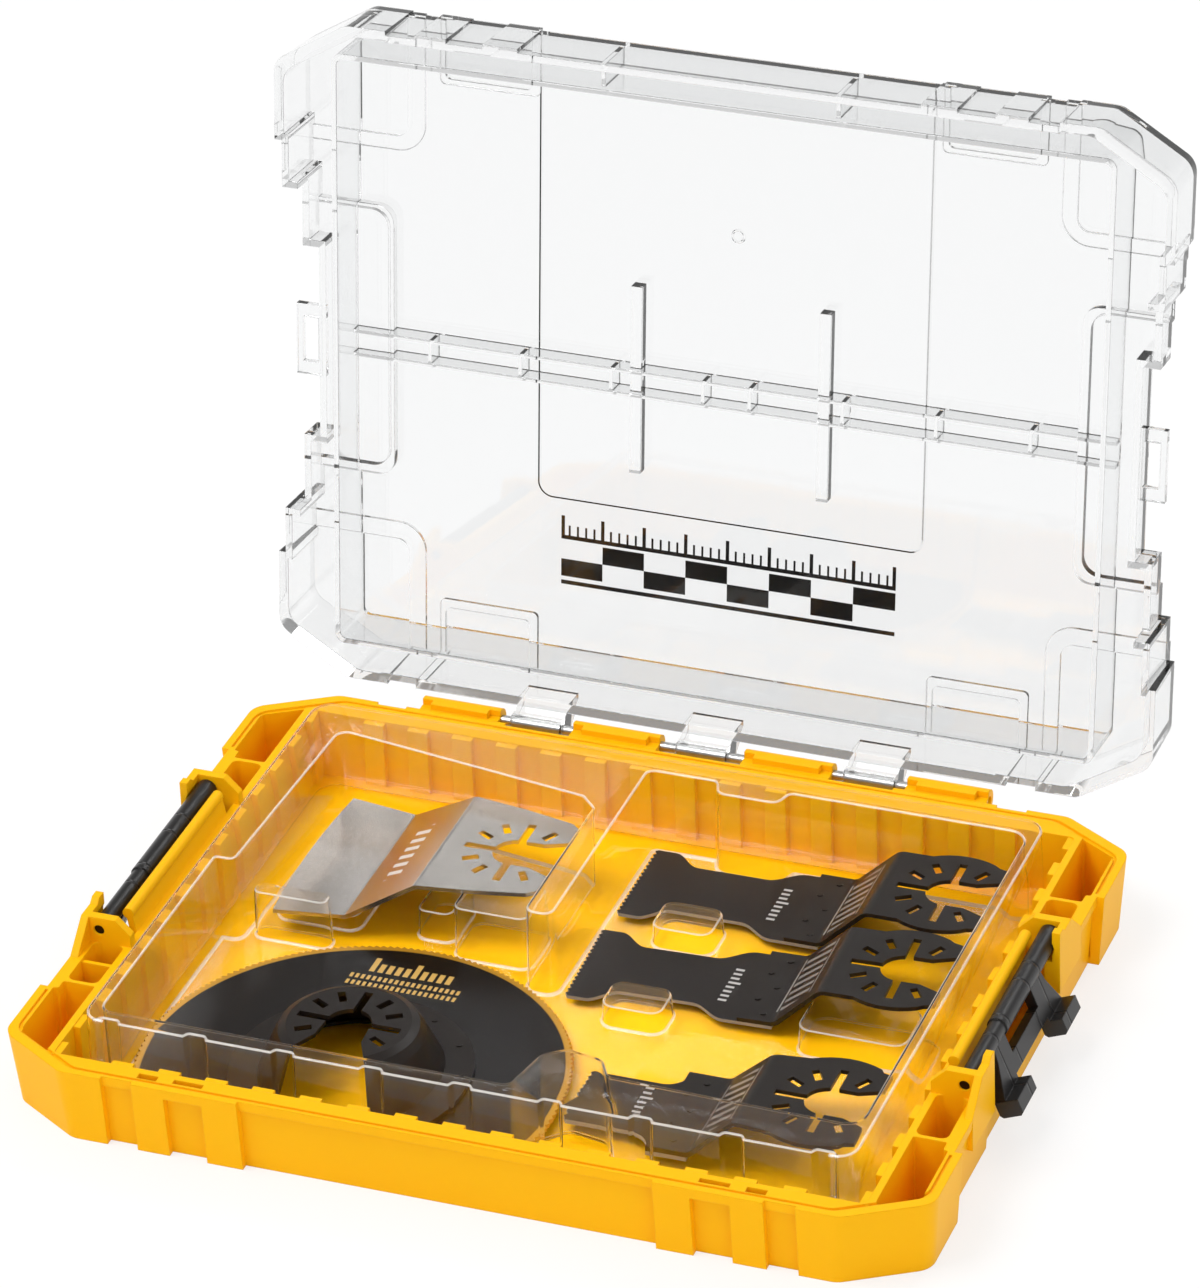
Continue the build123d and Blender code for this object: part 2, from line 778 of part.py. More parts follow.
def latch_right():
    """The right latch, drawn closed (arms up) and swung open and down."""
    end_y = ear_inner_y - barrel_end_gap
    body = rod_y(barrel_radius, barrel_step_y, end_y, pivot_x, pivot_z)
    body += rod_y(barrel_thin_radius, -end_y, barrel_step_y + 0.5, pivot_x, pivot_z)
    t = arm_thickness / 2
    pad_low = pivot_z + pad_s[0]
    outline = [
        (arm_inner_y, pivot_z), (arm_root_y, pivot_z), (arm_root_y + 1, pivot_z + arm_flare),
        (arm_end_y, pad_low + 1), (pad_inner_y, pad_low + 1),
        (pad_inner_y, pivot_z + web_s[1]), (arm_inner_y, pivot_z + web_s[0]),
    ]
    outer = pivot_x + t
    pad = block(outer - pad_depth, outer, pad_inner_y, arm_end_y, pad_low, pivot_z + pad_s[1])
    pad = chamfer(pad.edges().filter_by(Axis.Y).group_by(Axis.Z)[-1], pad_chamfer)
    body += front_and_back(along_x(outline, pivot_x - t, outer) + pad)
    body += block(pivot_x - t, outer, -pad_inner_y, pad_inner_y, pivot_z + web_s[0], pivot_z + web_s[1])
    body -= rod_y(latch_pin_radius + pin_clearance, -ear_slope_end, ear_slope_end, pivot_x, pivot_z)
    return body.rotate(Axis((pivot_x, 0, pivot_z), (0, 1, 0)), latch_swing)


def latch_pin_right():
    """Steel pin through both right ears and the latch's barrel."""
    end = ear_inner_y + ear_thickness - 0.6
    return rod_y(latch_pin_radius, -end, end, pivot_x, pivot_z)


def insert_plan(z, inset=0.0):
    """The insert's outline in plan, notched along its front edge, as a face."""
    y0 = insert_front + inset
    y1 = insert_back - inset
    face = RectangleRounded(2 * (insert_half_width - inset), y1 - y0, insert_corner - inset)
    face = Pos(0, (y0 + y1) / 2, z) * face
    notch = Rectangle(insert_notch_width + 2 * inset, 2 * (insert_notch_depth + inset))
    for i in range(insert_notch_count):
        x = (i - (insert_notch_count - 1) / 2) * insert_notch_pitch
        face -= Pos(x, insert_front, z) * notch
    return face


def scraper_hollow():
    """Plan of the scraper's pocket, whose back wall follows the blade's taper."""
    front = round_back - round_overlap
    slope_y = scraper_y + scraper_half - pocket_slope
    left = scraper_side_shelf - insert_half_width
    return [
        (left + pocket_draft, insert_back - scraper_back_shelf), (divider_left - pocket_cut, slope_y),
        (divider_left, slope_y - pocket_cut), (divider_left, front), (left, front),
    ]


def blade_hollow():
    """Plan of the saw blades' and the half-moon blade's room, a stepped hump between them."""
    back = insert_back - back_shelf
    right = insert_half_width - right_shelf
    left = left_shelf - insert_half_width
    front = round_back - round_overlap
    back_bump = ((21.0, 0.0), (23.0, 5.7), (39.0, 5.7), (41.0, 0.0))
    front_hump = ((19.5, 15.5), (15.5, 22.3), (5.7, 24.0), (0.7, 19.7), (-2.5, front_shelf))
    points = [(divider_right, back)]
    points += [(divider_right + x, back - y) for x, y in back_bump]
    points += [(right, back), (right, insert_front + saw_front_shelf)]
    points += [(round_right + x, insert_front + y) for x, y in front_hump]
    return points + [(left, insert_front + front_shelf), (left, front), (divider_right, front)]


def low_walls():
    """Low retaining blocks on the insert's floor: (x0, x1, y0, y1, top)."""
    left = left_shelf - insert_half_width
    shelf_y = (scraper_y - scraper_half + 5.1, scraper_y + scraper_half - 6.9)
    between = (middle_y + 10.5, rear_y - 14.4)
    below = middle_y - 16.5
    tooth_x = divider_right + 17.2
    return (
        (scraper_x - scraper_edge - 1, scraper_x - scraper_fold + 2, *shelf_y, scraper_shelf_top),
        (left, scraper_x - scraper_fold - 2.5, round_back - 5.9, round_back - 1.1, corner_top),
        (scraper_x - 20.1, scraper_x - 9.0, round_back + 7.0, round_back + 23.5, step_top),
        (scraper_x - 7.1, divider_left - 0.7, round_back + 1.0, round_back + 17.5, flange_rest_top),
        (tooth_x, tooth_x + 16.5, *between, guide_top),
        (tooth_x, tooth_x + 16.5, below - 11.8, below, guide_top),
        (saw_x - 21.0, saw_x + 8.6, middle_y - 25.5, middle_y - 8.3, rest_top),
    )


def insert_tray():
    """Clear thin-walled insert: a terrace of levels, hollow from below."""
    z0 = floor_thickness + insert_clearance
    t = insert_sheet
    hollows = (scraper_hollow(), blade_hollow())
    outer = extrude(insert_plan(z0), amount=insert_top - z0)
    under = extrude(insert_plan(z0 - 1, t), amount=insert_top - t - z0 + 1)
    for points in hollows:
        outer -= plate(points, insert_floor, far_z)
    for points in hollows:
        grown = offset(in_plan(points), amount=t, kind=Kind.INTERSECTION)
        under -= extrude(Pos(0, 0, insert_floor - t) * grown, amount=far_z)
    for x0, x1, y0, y1, top in low_walls():
        outer += block(x0, x1, y0, y1, insert_floor - t / 3, top)
        under += block(x0 + t, x1 - t, y0 + t, y1 - t, z0 - 1, top - t)
    return outer - under


def toothed_edge(x, half):
    """Points of a saw edge along Y at x, teeth pointing to -X, from +half down to -half."""
    count = int(2 * half / tooth_pitch)
    step = 2 * half / count
    points = []
    for i in range(count):
        y = half - i * step
        points.append((x, y))
        points.append((x - tooth_depth, y - tooth_rake * step))
    return points + [(x, -half)]


def eased(x0, y0, x1, y1):
    """Points of an S-curve from one point to another, level at both ends."""
    steps = [i / 8 for i in range(9)]
    return [(x0 + (x1 - x0) * t, y0 + (y1 - y0) * (1 - cos(pi * t)) / 2) for t in steps]


def arc_points(radius, first, last):
    """Points of an arc about the arbor, between two angles in degrees."""
    angles = [radians(first + (last - first) * i / 8) for i in range(9)]
    return [(radius * cos(angle), radius * sin(angle)) for angle in angles]


def flange_face(upper, tip_x):
    """Top view of an open-ended tool flange, its arbor at the origin and its mouth towards +X."""
    face = in_plan(upper + [(x, -y) for x, y in reversed(upper)])
    flare_x = tip_x / 2
    flared = arbor_radius + mouth_flare
    mouth = [(0, arbor_radius), (flare_x, arbor_radius), (tip_x, flared), (tip_x + 1, flared)]
    face -= Circle(arbor_radius)
    face -= in_plan(mouth + [(x, -y) for x, y in reversed(mouth)])
    for angle in (180, 90, -90):
        face -= Rot(0, 0, angle) * Pos(slot_reach / 2, 0) * Rectangle(slot_reach, flange_slot)
    for angle in (58, 121, 151, -58, -121, -151):
        face -= Rot(0, 0, angle) * Pos(small_slot_circle, 0) * Rectangle(*small_slot)
    return face


def bulged_flange(x_high, neck_half, widest, tip_x):
    """Upper outline of a saw blade's flange: neck, bulge about the arbor, stepped tip."""
    outline = [(-x_high, neck_half)] + arc_points(widest, 120, 63)
    tip_half = 0.79 * widest
    return outline + [(tip_x - tip_step, tip_half + 0.7), (tip_x, tip_half)]


def cranked(z_low, rise, bend, x_start, x_fold, x_high, x_end):
    """Wide prism over the side view of a cranked plate, low to the left, its four bends rounded."""
    z_high = z_low + rise
    t = shank_plate
    tight = [(x_fold - 0.5, z_low + t), (x_high, z_high)]
    wide = [(x_fold, z_low), (x_high - 0.5, z_high + t)]
    outline = [
        (x_start, z_low), wide[0], tight[1], (x_end, z_high),
        (x_end, z_high + t), wide[1], tight[0], (x_start, z_low + t),
    ]
    half = 2 * scraper_half
    prism = along_y(outline, -half, half)
    for bends, radius in ((tight, bend), (wide, bend + t)):
        for x, z in bends:
            edge = prism.edges().filter_by(Axis.Y).sort_by_distance((x, 0, z))[0]
            prism = fillet(edge, radius)
    return prism


def placed(shape, x, y, angle):
    """A blade piece drawn about its arbor, put in the case."""
    return Pos(x, y, 0) * Rot(0, 0, angle) * shape


def scraper_blade():
    """Bare steel scraper, one cranked plate with a slightly bowed edge."""
    bend_half = scraper_half - scraper_taper
    high_half = bend_half - scraper_taper
    steps = [i / 4 for i in range(5)]
    half = [(scraper_bow * t ** 2 - scraper_edge, scraper_half * t) for t in steps[1:]]
    half += [(-scraper_fold, bend_half), (-scraper_high, high_half)]
    view = in_plan([(-scraper_edge, 0)] + half + [(x, -y) for x, y in reversed(half)])
    upper = [
        (-scraper_high, high_half), (-4.5, high_half - 2.1), (scraper_tip - 2.5, high_half - 5.1),
        (scraper_tip, high_half - 7.1),
    ]
    view += flange_face(upper, scraper_tip)
    bends = (-scraper_edge, -scraper_fold, -scraper_high, scraper_tip)
    side = cranked(scraper_floor, scraper_rise, scraper_bend, *bends)
    return placed(extrude(view, amount=far_z) & side, scraper_x, scraper_y, 0)


def saw_shank(half, widest, rise, lap, fold, high):
    """Cranked shank that carries a saw plate under its lap."""
    neck_half = half - neck_inset
    side = [(-lap, half), (-fold, half), (-high, neck_half)]
    neck = in_plan(side + [(x, -y) for x, y in reversed(side)])
    view = neck + flange_face(bulged_flange(high, neck_half, widest, saw_tip), saw_tip)
    z = blade_floor + blade_plate
    return extrude(view, amount=far_z) & cranked(z, rise, saw_bend, -lap, -fold, -high, saw_tip)


def rivet_places(lap):
    """Five spot rivets on a lap, staggered."""
    places = []
    for i in range(5):
        x = rivet_inset - lap + ((i + 1) % 2) * rivet_stagger
        places.append((x, rivet_spacing * (i - 2)))
    return places


def rivets(places, z0, z1):
    """Spot rivets through two plates, or the holes for them."""
    group = []
    for x, y in places:
        group.append(Pos(x, y, (z0 + z1) / 2) * Cylinder(rivet_radius, z1 - z0))
    return Compound(group)


def drilled(shape, places):
    """The shape with a hole at each place."""
    for hole in rivets(places, 0, far_z):
        shape -= hole
    return shape


def saw_pieces(outline, shank, places, y, angle):
    """Toothed plate, shank and rivets of one saw blade, put in the case."""
    z = blade_floor
    saw = extrude(Pos(0, 0, z) * in_plan(outline), amount=blade_plate)
    heads = rivets(places, z, z + blade_plate + shank_plate + rivet_dome)
    pieces = (drilled(saw, places), drilled(shank, places), heads)
    return [placed(piece, saw_x, y, angle) for piece in pieces]


def wide_saw(y, angle):
    """Bi-metal blade: waisted toothed plate, shank, rivets."""
    waist = saw_half - saw_waist
    shoulder = eased(shoulder_span[0] - saw_edge, saw_half, shoulder_span[1] - saw_edge, waist)
    flare = eased(-saw_lap - flare_span[0], waist, -saw_lap - flare_span[1], saw_half)
    upper = [(-saw_fold - 1, saw_half)] + flare[::-1] + shoulder[::-1]
    outline = toothed_edge(-saw_edge, saw_half) + [(x, -y) for x, y in reversed(upper)] + upper
    shank = saw_shank(saw_half, flange_half, saw_rise, saw_lap, saw_fold, saw_high)
    return saw_pieces(outline, shank, rivet_places(saw_lap), y, angle)


def narrow_saw(y):
    """Front blade: a narrow toothed plate that flares into a shank like the others'."""
    centre = (-front_lap - front_flare, front_half + front_flare)
    turns = [radians(90 * i / 8) for i in range(9)]
    flare = [(centre[0] + front_flare * sin(a), centre[1] - front_flare * cos(a)) for a in turns]
    upper = [(-front_fold - 1, front_lap_half), (-front_lap, front_lap_half)] + flare[::-1]
    outline = toothed_edge(-front_edge, front_half) + [(x, -y) for x, y in reversed(upper)] + upper
    shank = saw_shank(front_lap_half, front_flange_half, front_rise, front_lap, front_fold, front_high)
    return saw_pieces(outline, shank, rivet_places(front_lap), y, 0)


def round_disc():
    """Plan of the half-moon blade's toothed edge."""
    count = int(2 * pi * round_radius / tooth_pitch)
    points = []
    for i in range(count):
        for turn, radius in ((i, round_radius), (i + tooth_rake, round_radius - tooth_depth)):
            angle = radians(360 * turn / count)
            points.append((radius * cos(angle), radius * sin(angle)))
    return in_plan(points)


def round_hub():
    """Raised hub of the half-moon blade, its underside at height 0, its mouth towards -Y."""
    t = shank_plate
    z_shoulder = hub_rise - hub_round
    profile = [
        (0, 0, hub_rise), (hub_flat, 0, hub_rise), (hub_flat + 2.1, 0, hub_rise - 1.1),
        (hub_shoulder, 0, z_shoulder), (hub_foot, 0, t), (hub_skirt, 0, t), (hub_skirt, 0, 0),
        (hub_foot - 0.8, 0, 0), (hub_shoulder - 1.1, 0, z_shoulder - 0.5),
        (hub_flat + 1.3, 0, hub_rise - 1.9), (hub_flat - 0.3, 0, hub_rise - t), (0, 0, hub_rise - t),
    ]
    hub = revolve(polygon(profile), axis=Axis.Z)
    mouth = [(arbor_radius, 0)] + list(hub_mouth)
    hub -= plate(mouth + [(-x, y) for x, y in reversed(mouth)], -1, far_z)
    cut = Circle(arbor_radius)
    for angle in (90, 0, 180):
        cut += Rot(0, 0, angle) * Pos(slot_reach / 2, 0) * Rectangle(slot_reach, flange_slot)
    for angle in (-30, 30, 60, 120, 150, 210):
        cut += Rot(0, 0, angle) * Pos(small_slot_circle, 0) * Rectangle(*small_slot)
    return hub - extrude(Pos(0, 0, hub_rise / 2) * cut, amount=hub_rise)


def round_saw():
    """Half-moon blade: toothed disc, raised hub, spot rivets."""
    z = blade_floor
    hub_z = z + blade_plate
    places = []
    for i in range(7):
        angle = radians(9 + 27 * i)
        places.append((rivet_circle * cos(angle), rivet_circle * sin(angle)))
    reach = 2 * round_radius
    below = block(-reach, reach, -reach, -round_cut, -1, far_z)
    disc = extrude(Pos(0, 0, z) * round_disc(), amount=blade_plate) - below
    disc -= Pos(0, 0, z) * Cylinder(hub_foot - 2, 4 * blade_plate)
    hub = Pos(0, 0, hub_z) * round_hub() - Pos(0, hub_front, 0) * below
    heads = rivets(places, z, hub_z + shank_plate + rivet_dome)
    return [Pos(round_x, round_y, 0) * s for s in (drilled(disc, places), drilled(hub, places), heads)]


def all_nodes():
    """Every node's name and solid."""
    nodes = {
        "base_tray": base_tray(),
        "hinge_pin": hinge_pin(),
        "lid": lid(),
        "latch_right": latch_right(),
        "latch_pin_right": latch_pin_right(),
        "insert_tray": insert_tray(),
        "scraper_blade": scraper_blade(),
    }
    nodes["latch_left"] = mirror(nodes["latch_right"], about=Plane.YZ)
    nodes["latch_pin_left"] = mirror(nodes["latch_pin_right"], about=Plane.YZ)
    blades = {
        "rear_blade": wide_saw(rear_y, rear_angle),
        "middle_blade": wide_saw(middle_y, middle_angle),
        "front_blade": narrow_saw(front_y),
    }
    for name, pieces in blades.items():
        for kind, piece in zip(("plate", "shank", "rivets"), pieces):
            nodes[name + "_" + kind] = piece
    for kind, piece in zip(("disc", "hub", "rivets"), round_saw()):
        nodes["round_blade_" + kind] = piece
    return nodes


os.makedirs("parts", exist_ok=True)
for name, shape in all_nodes().items():
    export_step(shape, "parts/" + name + ".step")
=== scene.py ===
"""Dresses a saw blade storage case: moulded case, clear lid, formed insert and its blades.

Sizes in the classes are millimetres in the case's own frame: origin at the centre of the
base's underside, +X right along the hinge, +Y towards the hinge, +Z up. Meshes are metres.
"""

import logging
import math
from dataclasses import dataclass, field
from enum import Enum

import bmesh
import bpy
import numpy as np
from bpy.types import ID, Material, Node, NodeOutputs, NodeSocket, NodeTree, Object
from mathutils import Matrix, Vector
from mathutils.geometry import delaunay_2d_cdt


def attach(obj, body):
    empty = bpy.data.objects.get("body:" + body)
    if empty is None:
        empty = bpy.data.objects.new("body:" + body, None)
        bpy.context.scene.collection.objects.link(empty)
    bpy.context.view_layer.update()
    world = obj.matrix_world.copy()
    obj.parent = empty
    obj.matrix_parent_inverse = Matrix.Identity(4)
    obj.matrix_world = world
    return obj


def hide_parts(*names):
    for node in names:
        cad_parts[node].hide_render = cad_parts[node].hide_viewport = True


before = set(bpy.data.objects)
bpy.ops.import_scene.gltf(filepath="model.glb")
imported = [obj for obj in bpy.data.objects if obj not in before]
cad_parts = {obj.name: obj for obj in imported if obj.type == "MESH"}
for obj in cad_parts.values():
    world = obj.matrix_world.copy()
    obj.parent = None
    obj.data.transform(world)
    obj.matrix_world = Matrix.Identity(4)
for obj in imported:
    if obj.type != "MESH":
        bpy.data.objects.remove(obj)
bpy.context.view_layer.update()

LOG = logging.getLogger("blade_case")
MM = 0.001
PER_METRE = 1000.0
HINGE = (100.4, 19.6)
OPEN_ANGLE = 97.25
SQUARE = ((-1, -1), (1, -1), (1, 1), (-1, 1))
ROUND_POINTS = 5
WELD = 0.002
Colour = tuple[float, float, float]
Spot = tuple[float, float, float]
Point = tuple[float, float]


# Shader building.


class Graph:
    """A node tree with short ways to add and join nodes."""

    def __init__(self, tree: NodeTree) -> None:
        """Takes over a node tree and empties it."""
        self.tree = tree
        tree.nodes.clear()

    def add(self, kind: str, **values: object) -> Node:
        """Adds a node.

        Args:
            kind: its type without the ShaderNode prefix, or a type that starts with Node.
            values: its attributes, or its inputs' defaults under the input's name in lower
                case with underscores.

        Returns:
            The node.
        """
        name = kind if kind.startswith("Node") else "ShaderNode" + kind
        node = self.tree.nodes.new(name)
        if "node_tree" in values:
            node.node_tree = values.pop("node_tree")
        inputs = {put.name.lower().replace(" ", "_"): put for put in reversed(node.inputs)}
        for key, value in values.items():
            if key in inputs:
                inputs[key].default_value = value
            else:
                setattr(node, key, value)
        return node

    def join(self, source: NodeSocket, target: NodeSocket) -> None:
        """Links an output socket to an input socket."""
        self.tree.links.new(source, target)

    def feed(self, slots: list[NodeSocket], values: tuple[object, ...]) -> None:
        """Links or sets input sockets.

        Args:
            slots: the sockets, in order.
            values: a socket to link or a value to set, for each.
        """
        for slot, value in zip(slots, values):
            if isinstance(value, NodeSocket):
                self.join(value, slot)
            else:
                slot.default_value = value

    def math(self, operation: str, *values: object) -> NodeSocket:
        """Adds a Math node fed by sockets or numbers.

        Args:
            operation: the Math node's operation.
            values: one to three sockets or numbers.

        Returns:
            The node's output.
        """
        node = self.add("Math", operation=operation)
        self.feed(list(node.inputs), values)
        return node.outputs[0]

    def near(self, value: object, middle: object, reach: object) -> NodeSocket:
        """Returns 1 where a value is within reach of a middle, and 0 elsewhere."""
        return self.math("COMPARE", value, middle, reach)

    def split(self, vector: NodeSocket) -> NodeOutputs:
        """Returns the x, y and z outputs of a vector."""
        node = self.add("SeparateXYZ")
        self.join(vector, node.inputs[0])
        return node.outputs

    def group(self, tree: NodeTree, place: NodeSocket, **values: object) -> NodeOutputs:
        """Places a node group.

        Args:
            tree: the group.
            place: the socket for its Vector input.
            values: input defaults, named as add names them.

        Returns:
            The group's outputs.
        """
        node = self.add("Group", node_tree=tree, **values)
        self.join(place, node.inputs["Vector"])
        return node.outputs

    def ramp(
        self, value: NodeSocket, low: float, high: float, at_low: float, at_high: float,
    ) -> NodeSocket:
        """Maps low to at_low and high to at_high in a straight line, held beyond both.

        Args:
            value: the socket to map.
            low: where the line starts.
            high: where it ends.
            at_low: result at low.
            at_high: result at high.

        Returns:
            The result.
        """
        node = self.add("MapRange", from_min=low, from_max=high, to_min=at_low, to_max=at_high)
        self.join(value, node.inputs["Value"])
        return node.outputs["Result"]

    def choose(self, factor: object, first: object, second: object) -> NodeSocket:
        """Adds a Mix node for numbers.

        Args:
            factor: a socket or a number.
            first: a socket or a number, seen at factor 0.
            second: a socket or a number, seen at factor 1.

        Returns:
            The mixed number.
        """
        node = self.add("Mix", data_type="FLOAT")
        self.feed([node.inputs[0], node.inputs[2], node.inputs[3]], (factor, first, second))
        return node.outputs[0]

    def blend(self, factor: object, first: object, second: object) -> NodeSocket:
        """Adds a colour Mix node.

        Args:
            factor: a socket or a number.
            first: a socket or an RGBA colour, seen at factor 0.
            second: a socket or an RGBA colour, seen at factor 1.

        Returns:
            The mixed colour.
        """
        node = self.add("Mix", data_type="RGBA")
        self.feed([node.inputs[0], node.inputs[6], node.inputs[7]], (factor, first, second))
        return node.outputs[2]


class MaterialGraph(Graph):
    """A new material's graph, with its shader and object coordinates."""

    def __init__(self, name: str, **values: object) -> None:
        """Makes the material with a Principled BSDF.

        Args:
            name: the material's name.
            values: inputs of the shader, named as add names them.
        """
        self.material = bpy.data.materials.new(name)
        self.material.use_nodes = True
        super().__init__(self.material.node_tree)
        self.shader = self.add("BsdfPrincipled", **values)
        self.join(self.shader.outputs[0], self.add("OutputMaterial").inputs["Surface"])
        self.place = self.add("TexCoord").outputs["Object"]

    def drive(self, name: str, value: NodeSocket) -> None:
        """Links a value to the shader's input of that name."""
        self.join(value, self.shader.inputs[name])


def new_group(
    name: str, inputs: dict[str, float], outputs: tuple[str, ...],
) -> tuple[Graph, Node, Node]:
    """Starts a shader node group with a vector input and float sockets.

    Args:
        name: the group's name.
        inputs: float inputs and their defaults, after the Vector input.
        outputs: names of the float outputs.

    Returns:
        The graph, its group input node and its group output node.
    """
    tree = bpy.data.node_groups.new(name, "ShaderNodeTree")
    tree.interface.new_socket("Vector", in_out="INPUT", socket_type="NodeSocketVector")
    for key, value in inputs.items():
        socket = tree.interface.new_socket(key, in_out="INPUT", socket_type="NodeSocketFloat")
        socket.default_value = value
    for key in outputs:
        tree.interface.new_socket(key, in_out="OUTPUT", socket_type="NodeSocketFloat")
    graph = Graph(tree)
    return graph, graph.add("NodeGroupInput"), graph.add("NodeGroupOutput")


def build_grain_group() -> NodeTree:
    """Moulded surface: a fine grain and a slow waviness.

    Returns:
        A group whose Height is grain plus waves, and whose Shift is the slow noise about 0.
    """
    scales = {"Grain": 900.0, "Wave": 14.0}
    graph, inside, outside = new_group("moulded_grain", scales, ("Height", "Shift"))
    fine = graph.add("TexNoise", detail=2.0, roughness=0.6)
    slow = graph.add("TexNoise", detail=3.0, roughness=0.5)
    for node, key in ((fine, "Grain"), (slow, "Wave")):
        graph.join(inside.outputs["Vector"], node.inputs["Vector"])
        graph.join(inside.outputs[key], node.inputs["Scale"])
    shift = graph.math("SUBTRACT", slow.outputs["Fac"], 0.5)
    grain = graph.math("MULTIPLY", fine.outputs["Fac"], 0.35)
    height = graph.math("ADD", grain, slow.outputs["Fac"])
    graph.join(height, outside.inputs["Height"])
    graph.join(shift, outside.inputs["Shift"])
    return graph.tree


def build_brush_group() -> NodeTree:
    """Ground metal: noise drawn out along the grinding direction.

    Returns:
        A group whose Lines is the stretched noise, and whose Marks picks out a few deep lines.
    """
    scales = {"Along": 25.0, "Across": 4200.0}
    graph, inside, outside = new_group("ground_lines", scales, ("Lines", "Marks"))
    parts = graph.split(inside.outputs["Vector"])
    drawn = graph.add("CombineXYZ")
    for i, key in enumerate(("Across", "Along", "Across")):
        graph.join(graph.math("MULTIPLY", parts[i], inside.outputs[key]), drawn.inputs[i])
    noise = graph.add("TexNoise", scale=1.0, detail=4.0, roughness=0.7)
    graph.join(drawn.outputs[0], noise.inputs["Vector"])
    lines = noise.outputs["Fac"]
    graph.join(lines, outside.inputs["Lines"])
    graph.join(graph.ramp(lines, 0.62, 0.78, 0.0, 1.0), outside.inputs["Marks"])
    return graph.tree


def build_tick_group() -> NodeTree:
    """Plain printed ticks in a band, between two border lines.

    With u and v the distances from the band's centre in millimetres, tick number n is
    floor((v + Slant u) / Pitch). A tick runs from the band's low u edge for its reach, which is
    the whole band for every fifth one and Short of it for the others. A border line, where there
    is one, lies border_gap outside each edge of the band in u.

    Returns:
        A group whose Mask is 1 on the print.
    """
    inputs = {
        "Centre U": 0.0, "Centre V": 0.0, "Half U": 3.0, "Half V": 10.0,
        "Pitch": 2.0, "Width": 0.8, "Slant": 0.0, "Short": 1.0, "Border": 0.0,
    }
    border_gap, border_half, ticks_per_long_one = 0.7, 0.22, 5.0
    graph, inside, outside = new_group("printed_ticks", inputs, ("Mask",))
    given = inside.outputs
    parts = graph.split(given["Vector"])
    u, v = (
        graph.math("SUBTRACT", graph.math("MULTIPLY", part, PER_METRE), given[key])
        for part, key in zip(parts, ("Centre U", "Centre V"))
    )
    in_v = graph.near(v, 0.0, given["Half V"])
    count = graph.math("DIVIDE", graph.math("MULTIPLY_ADD", u, given["Slant"], v), given["Pitch"])
    thick = graph.math("DIVIDE", given["Width"], graph.math("MULTIPLY", given["Pitch"], 2.0))
    tick = graph.near(graph.math("FRACT", count), 0.5, thick)
    place_in_five = graph.math("FLOORED_MODULO", graph.math("FLOOR", count), ticks_per_long_one)
    fifth = graph.near(place_in_five, 0.0, 0.1)
    reach = graph.math("MULTIPLY", given["Half U"], graph.choose(fifth, given["Short"], 1.0))
    along = graph.math("ADD", u, graph.math("SUBTRACT", given["Half U"], reach))
    tick = graph.math("MULTIPLY", tick, graph.near(along, 0.0, reach))
    edge = graph.math("ADD", given["Half U"], border_gap)
    at_edge = graph.near(graph.math("ABSOLUTE", u), edge, border_half)
    border = graph.math("MULTIPLY", at_edge, given["Border"])
    mask = graph.math("MULTIPLY", graph.math("MAXIMUM", tick, border), in_v)
    graph.join(mask, outside.inputs["Mask"])
    return graph.tree


class Along(Enum):
    """The direction in which a band's ticks follow each other."""

    X = "x"
    Y = "y"


@dataclass(frozen=True)
class TickBand:
    """A band of printed ticks, in plan, in millimetres.

    centre and half are its middle and half sizes in X and Y. Its ticks lie across the direction
    in which they follow each other. slant is how far they lean, short is the length of all but
    every fifth one as a share of the whole, and border is 1 where there are border lines.
    """

    centre: Point
    half: Point
    pitch: float
    width: float
    slant: float = 0.0
    short: float = 1.0
    border: float = 0.0
    along: Along = Along.Y

    def mask(self, graph: MaterialGraph, ticks: NodeTree) -> NodeSocket:
        """Adds the band to a material.

        Args:
            graph: the material's graph.
            ticks: the printed ticks group.

        Returns:
            1 on the ticks.
        """
        centre, half, place = self.centre, self.half, graph.place
        if self.along is Along.X:
            centre, half = centre[::-1], half[::-1]
            parts, swap = graph.split(place), graph.add("CombineXYZ")
            graph.feed(list(swap.inputs), (parts[1], parts[0]))
            place = swap.outputs[0]
        made = graph.group(
            ticks, place, centre_u=centre[0], centre_v=centre[1], half_u=half[0], half_v=half[1],
            pitch=self.pitch, width=self.width, slant=self.slant, short=self.short,
            border=self.border,
        )
        return made["Mask"]


@dataclass(frozen=True)
class Finish:
    """What every finish has: a name and the shader's own constants."""

    name: str
    colour: Colour
    roughness: float
    gloss: float = 0.5
    edge: float = 0.0

    def start(self, **values: object) -> MaterialGraph:
        """Makes the material.

        Args:
            values: more of the shader's inputs, named as Graph.add names them.

        Returns:
            Its graph.
        """
        return MaterialGraph(
            self.name, base_color=(*self.colour, 1.0), roughness=self.roughness,
            specular_ior_level=self.gloss, **values,
        )

    def bump(self, graph: MaterialGraph, height: NodeSocket, depth: float) -> None:
        """Feeds a height to the shader's normal, over edges softened to a small radius.

        Args:
            graph: the material's graph.
            height: the height, about 0 to 1.
            depth: what height 1 means, in millimetres.
        """
        node = graph.add("Bump", strength=1.0, distance=depth * MM)
        graph.join(height, node.inputs["Height"])
        if self.edge > 0:
            soft = graph.add("Bevel", samples=4, radius=self.edge * MM)
            graph.join(soft.outputs[0], node.inputs["Normal"])
        graph.drive("Normal", node.outputs[0])


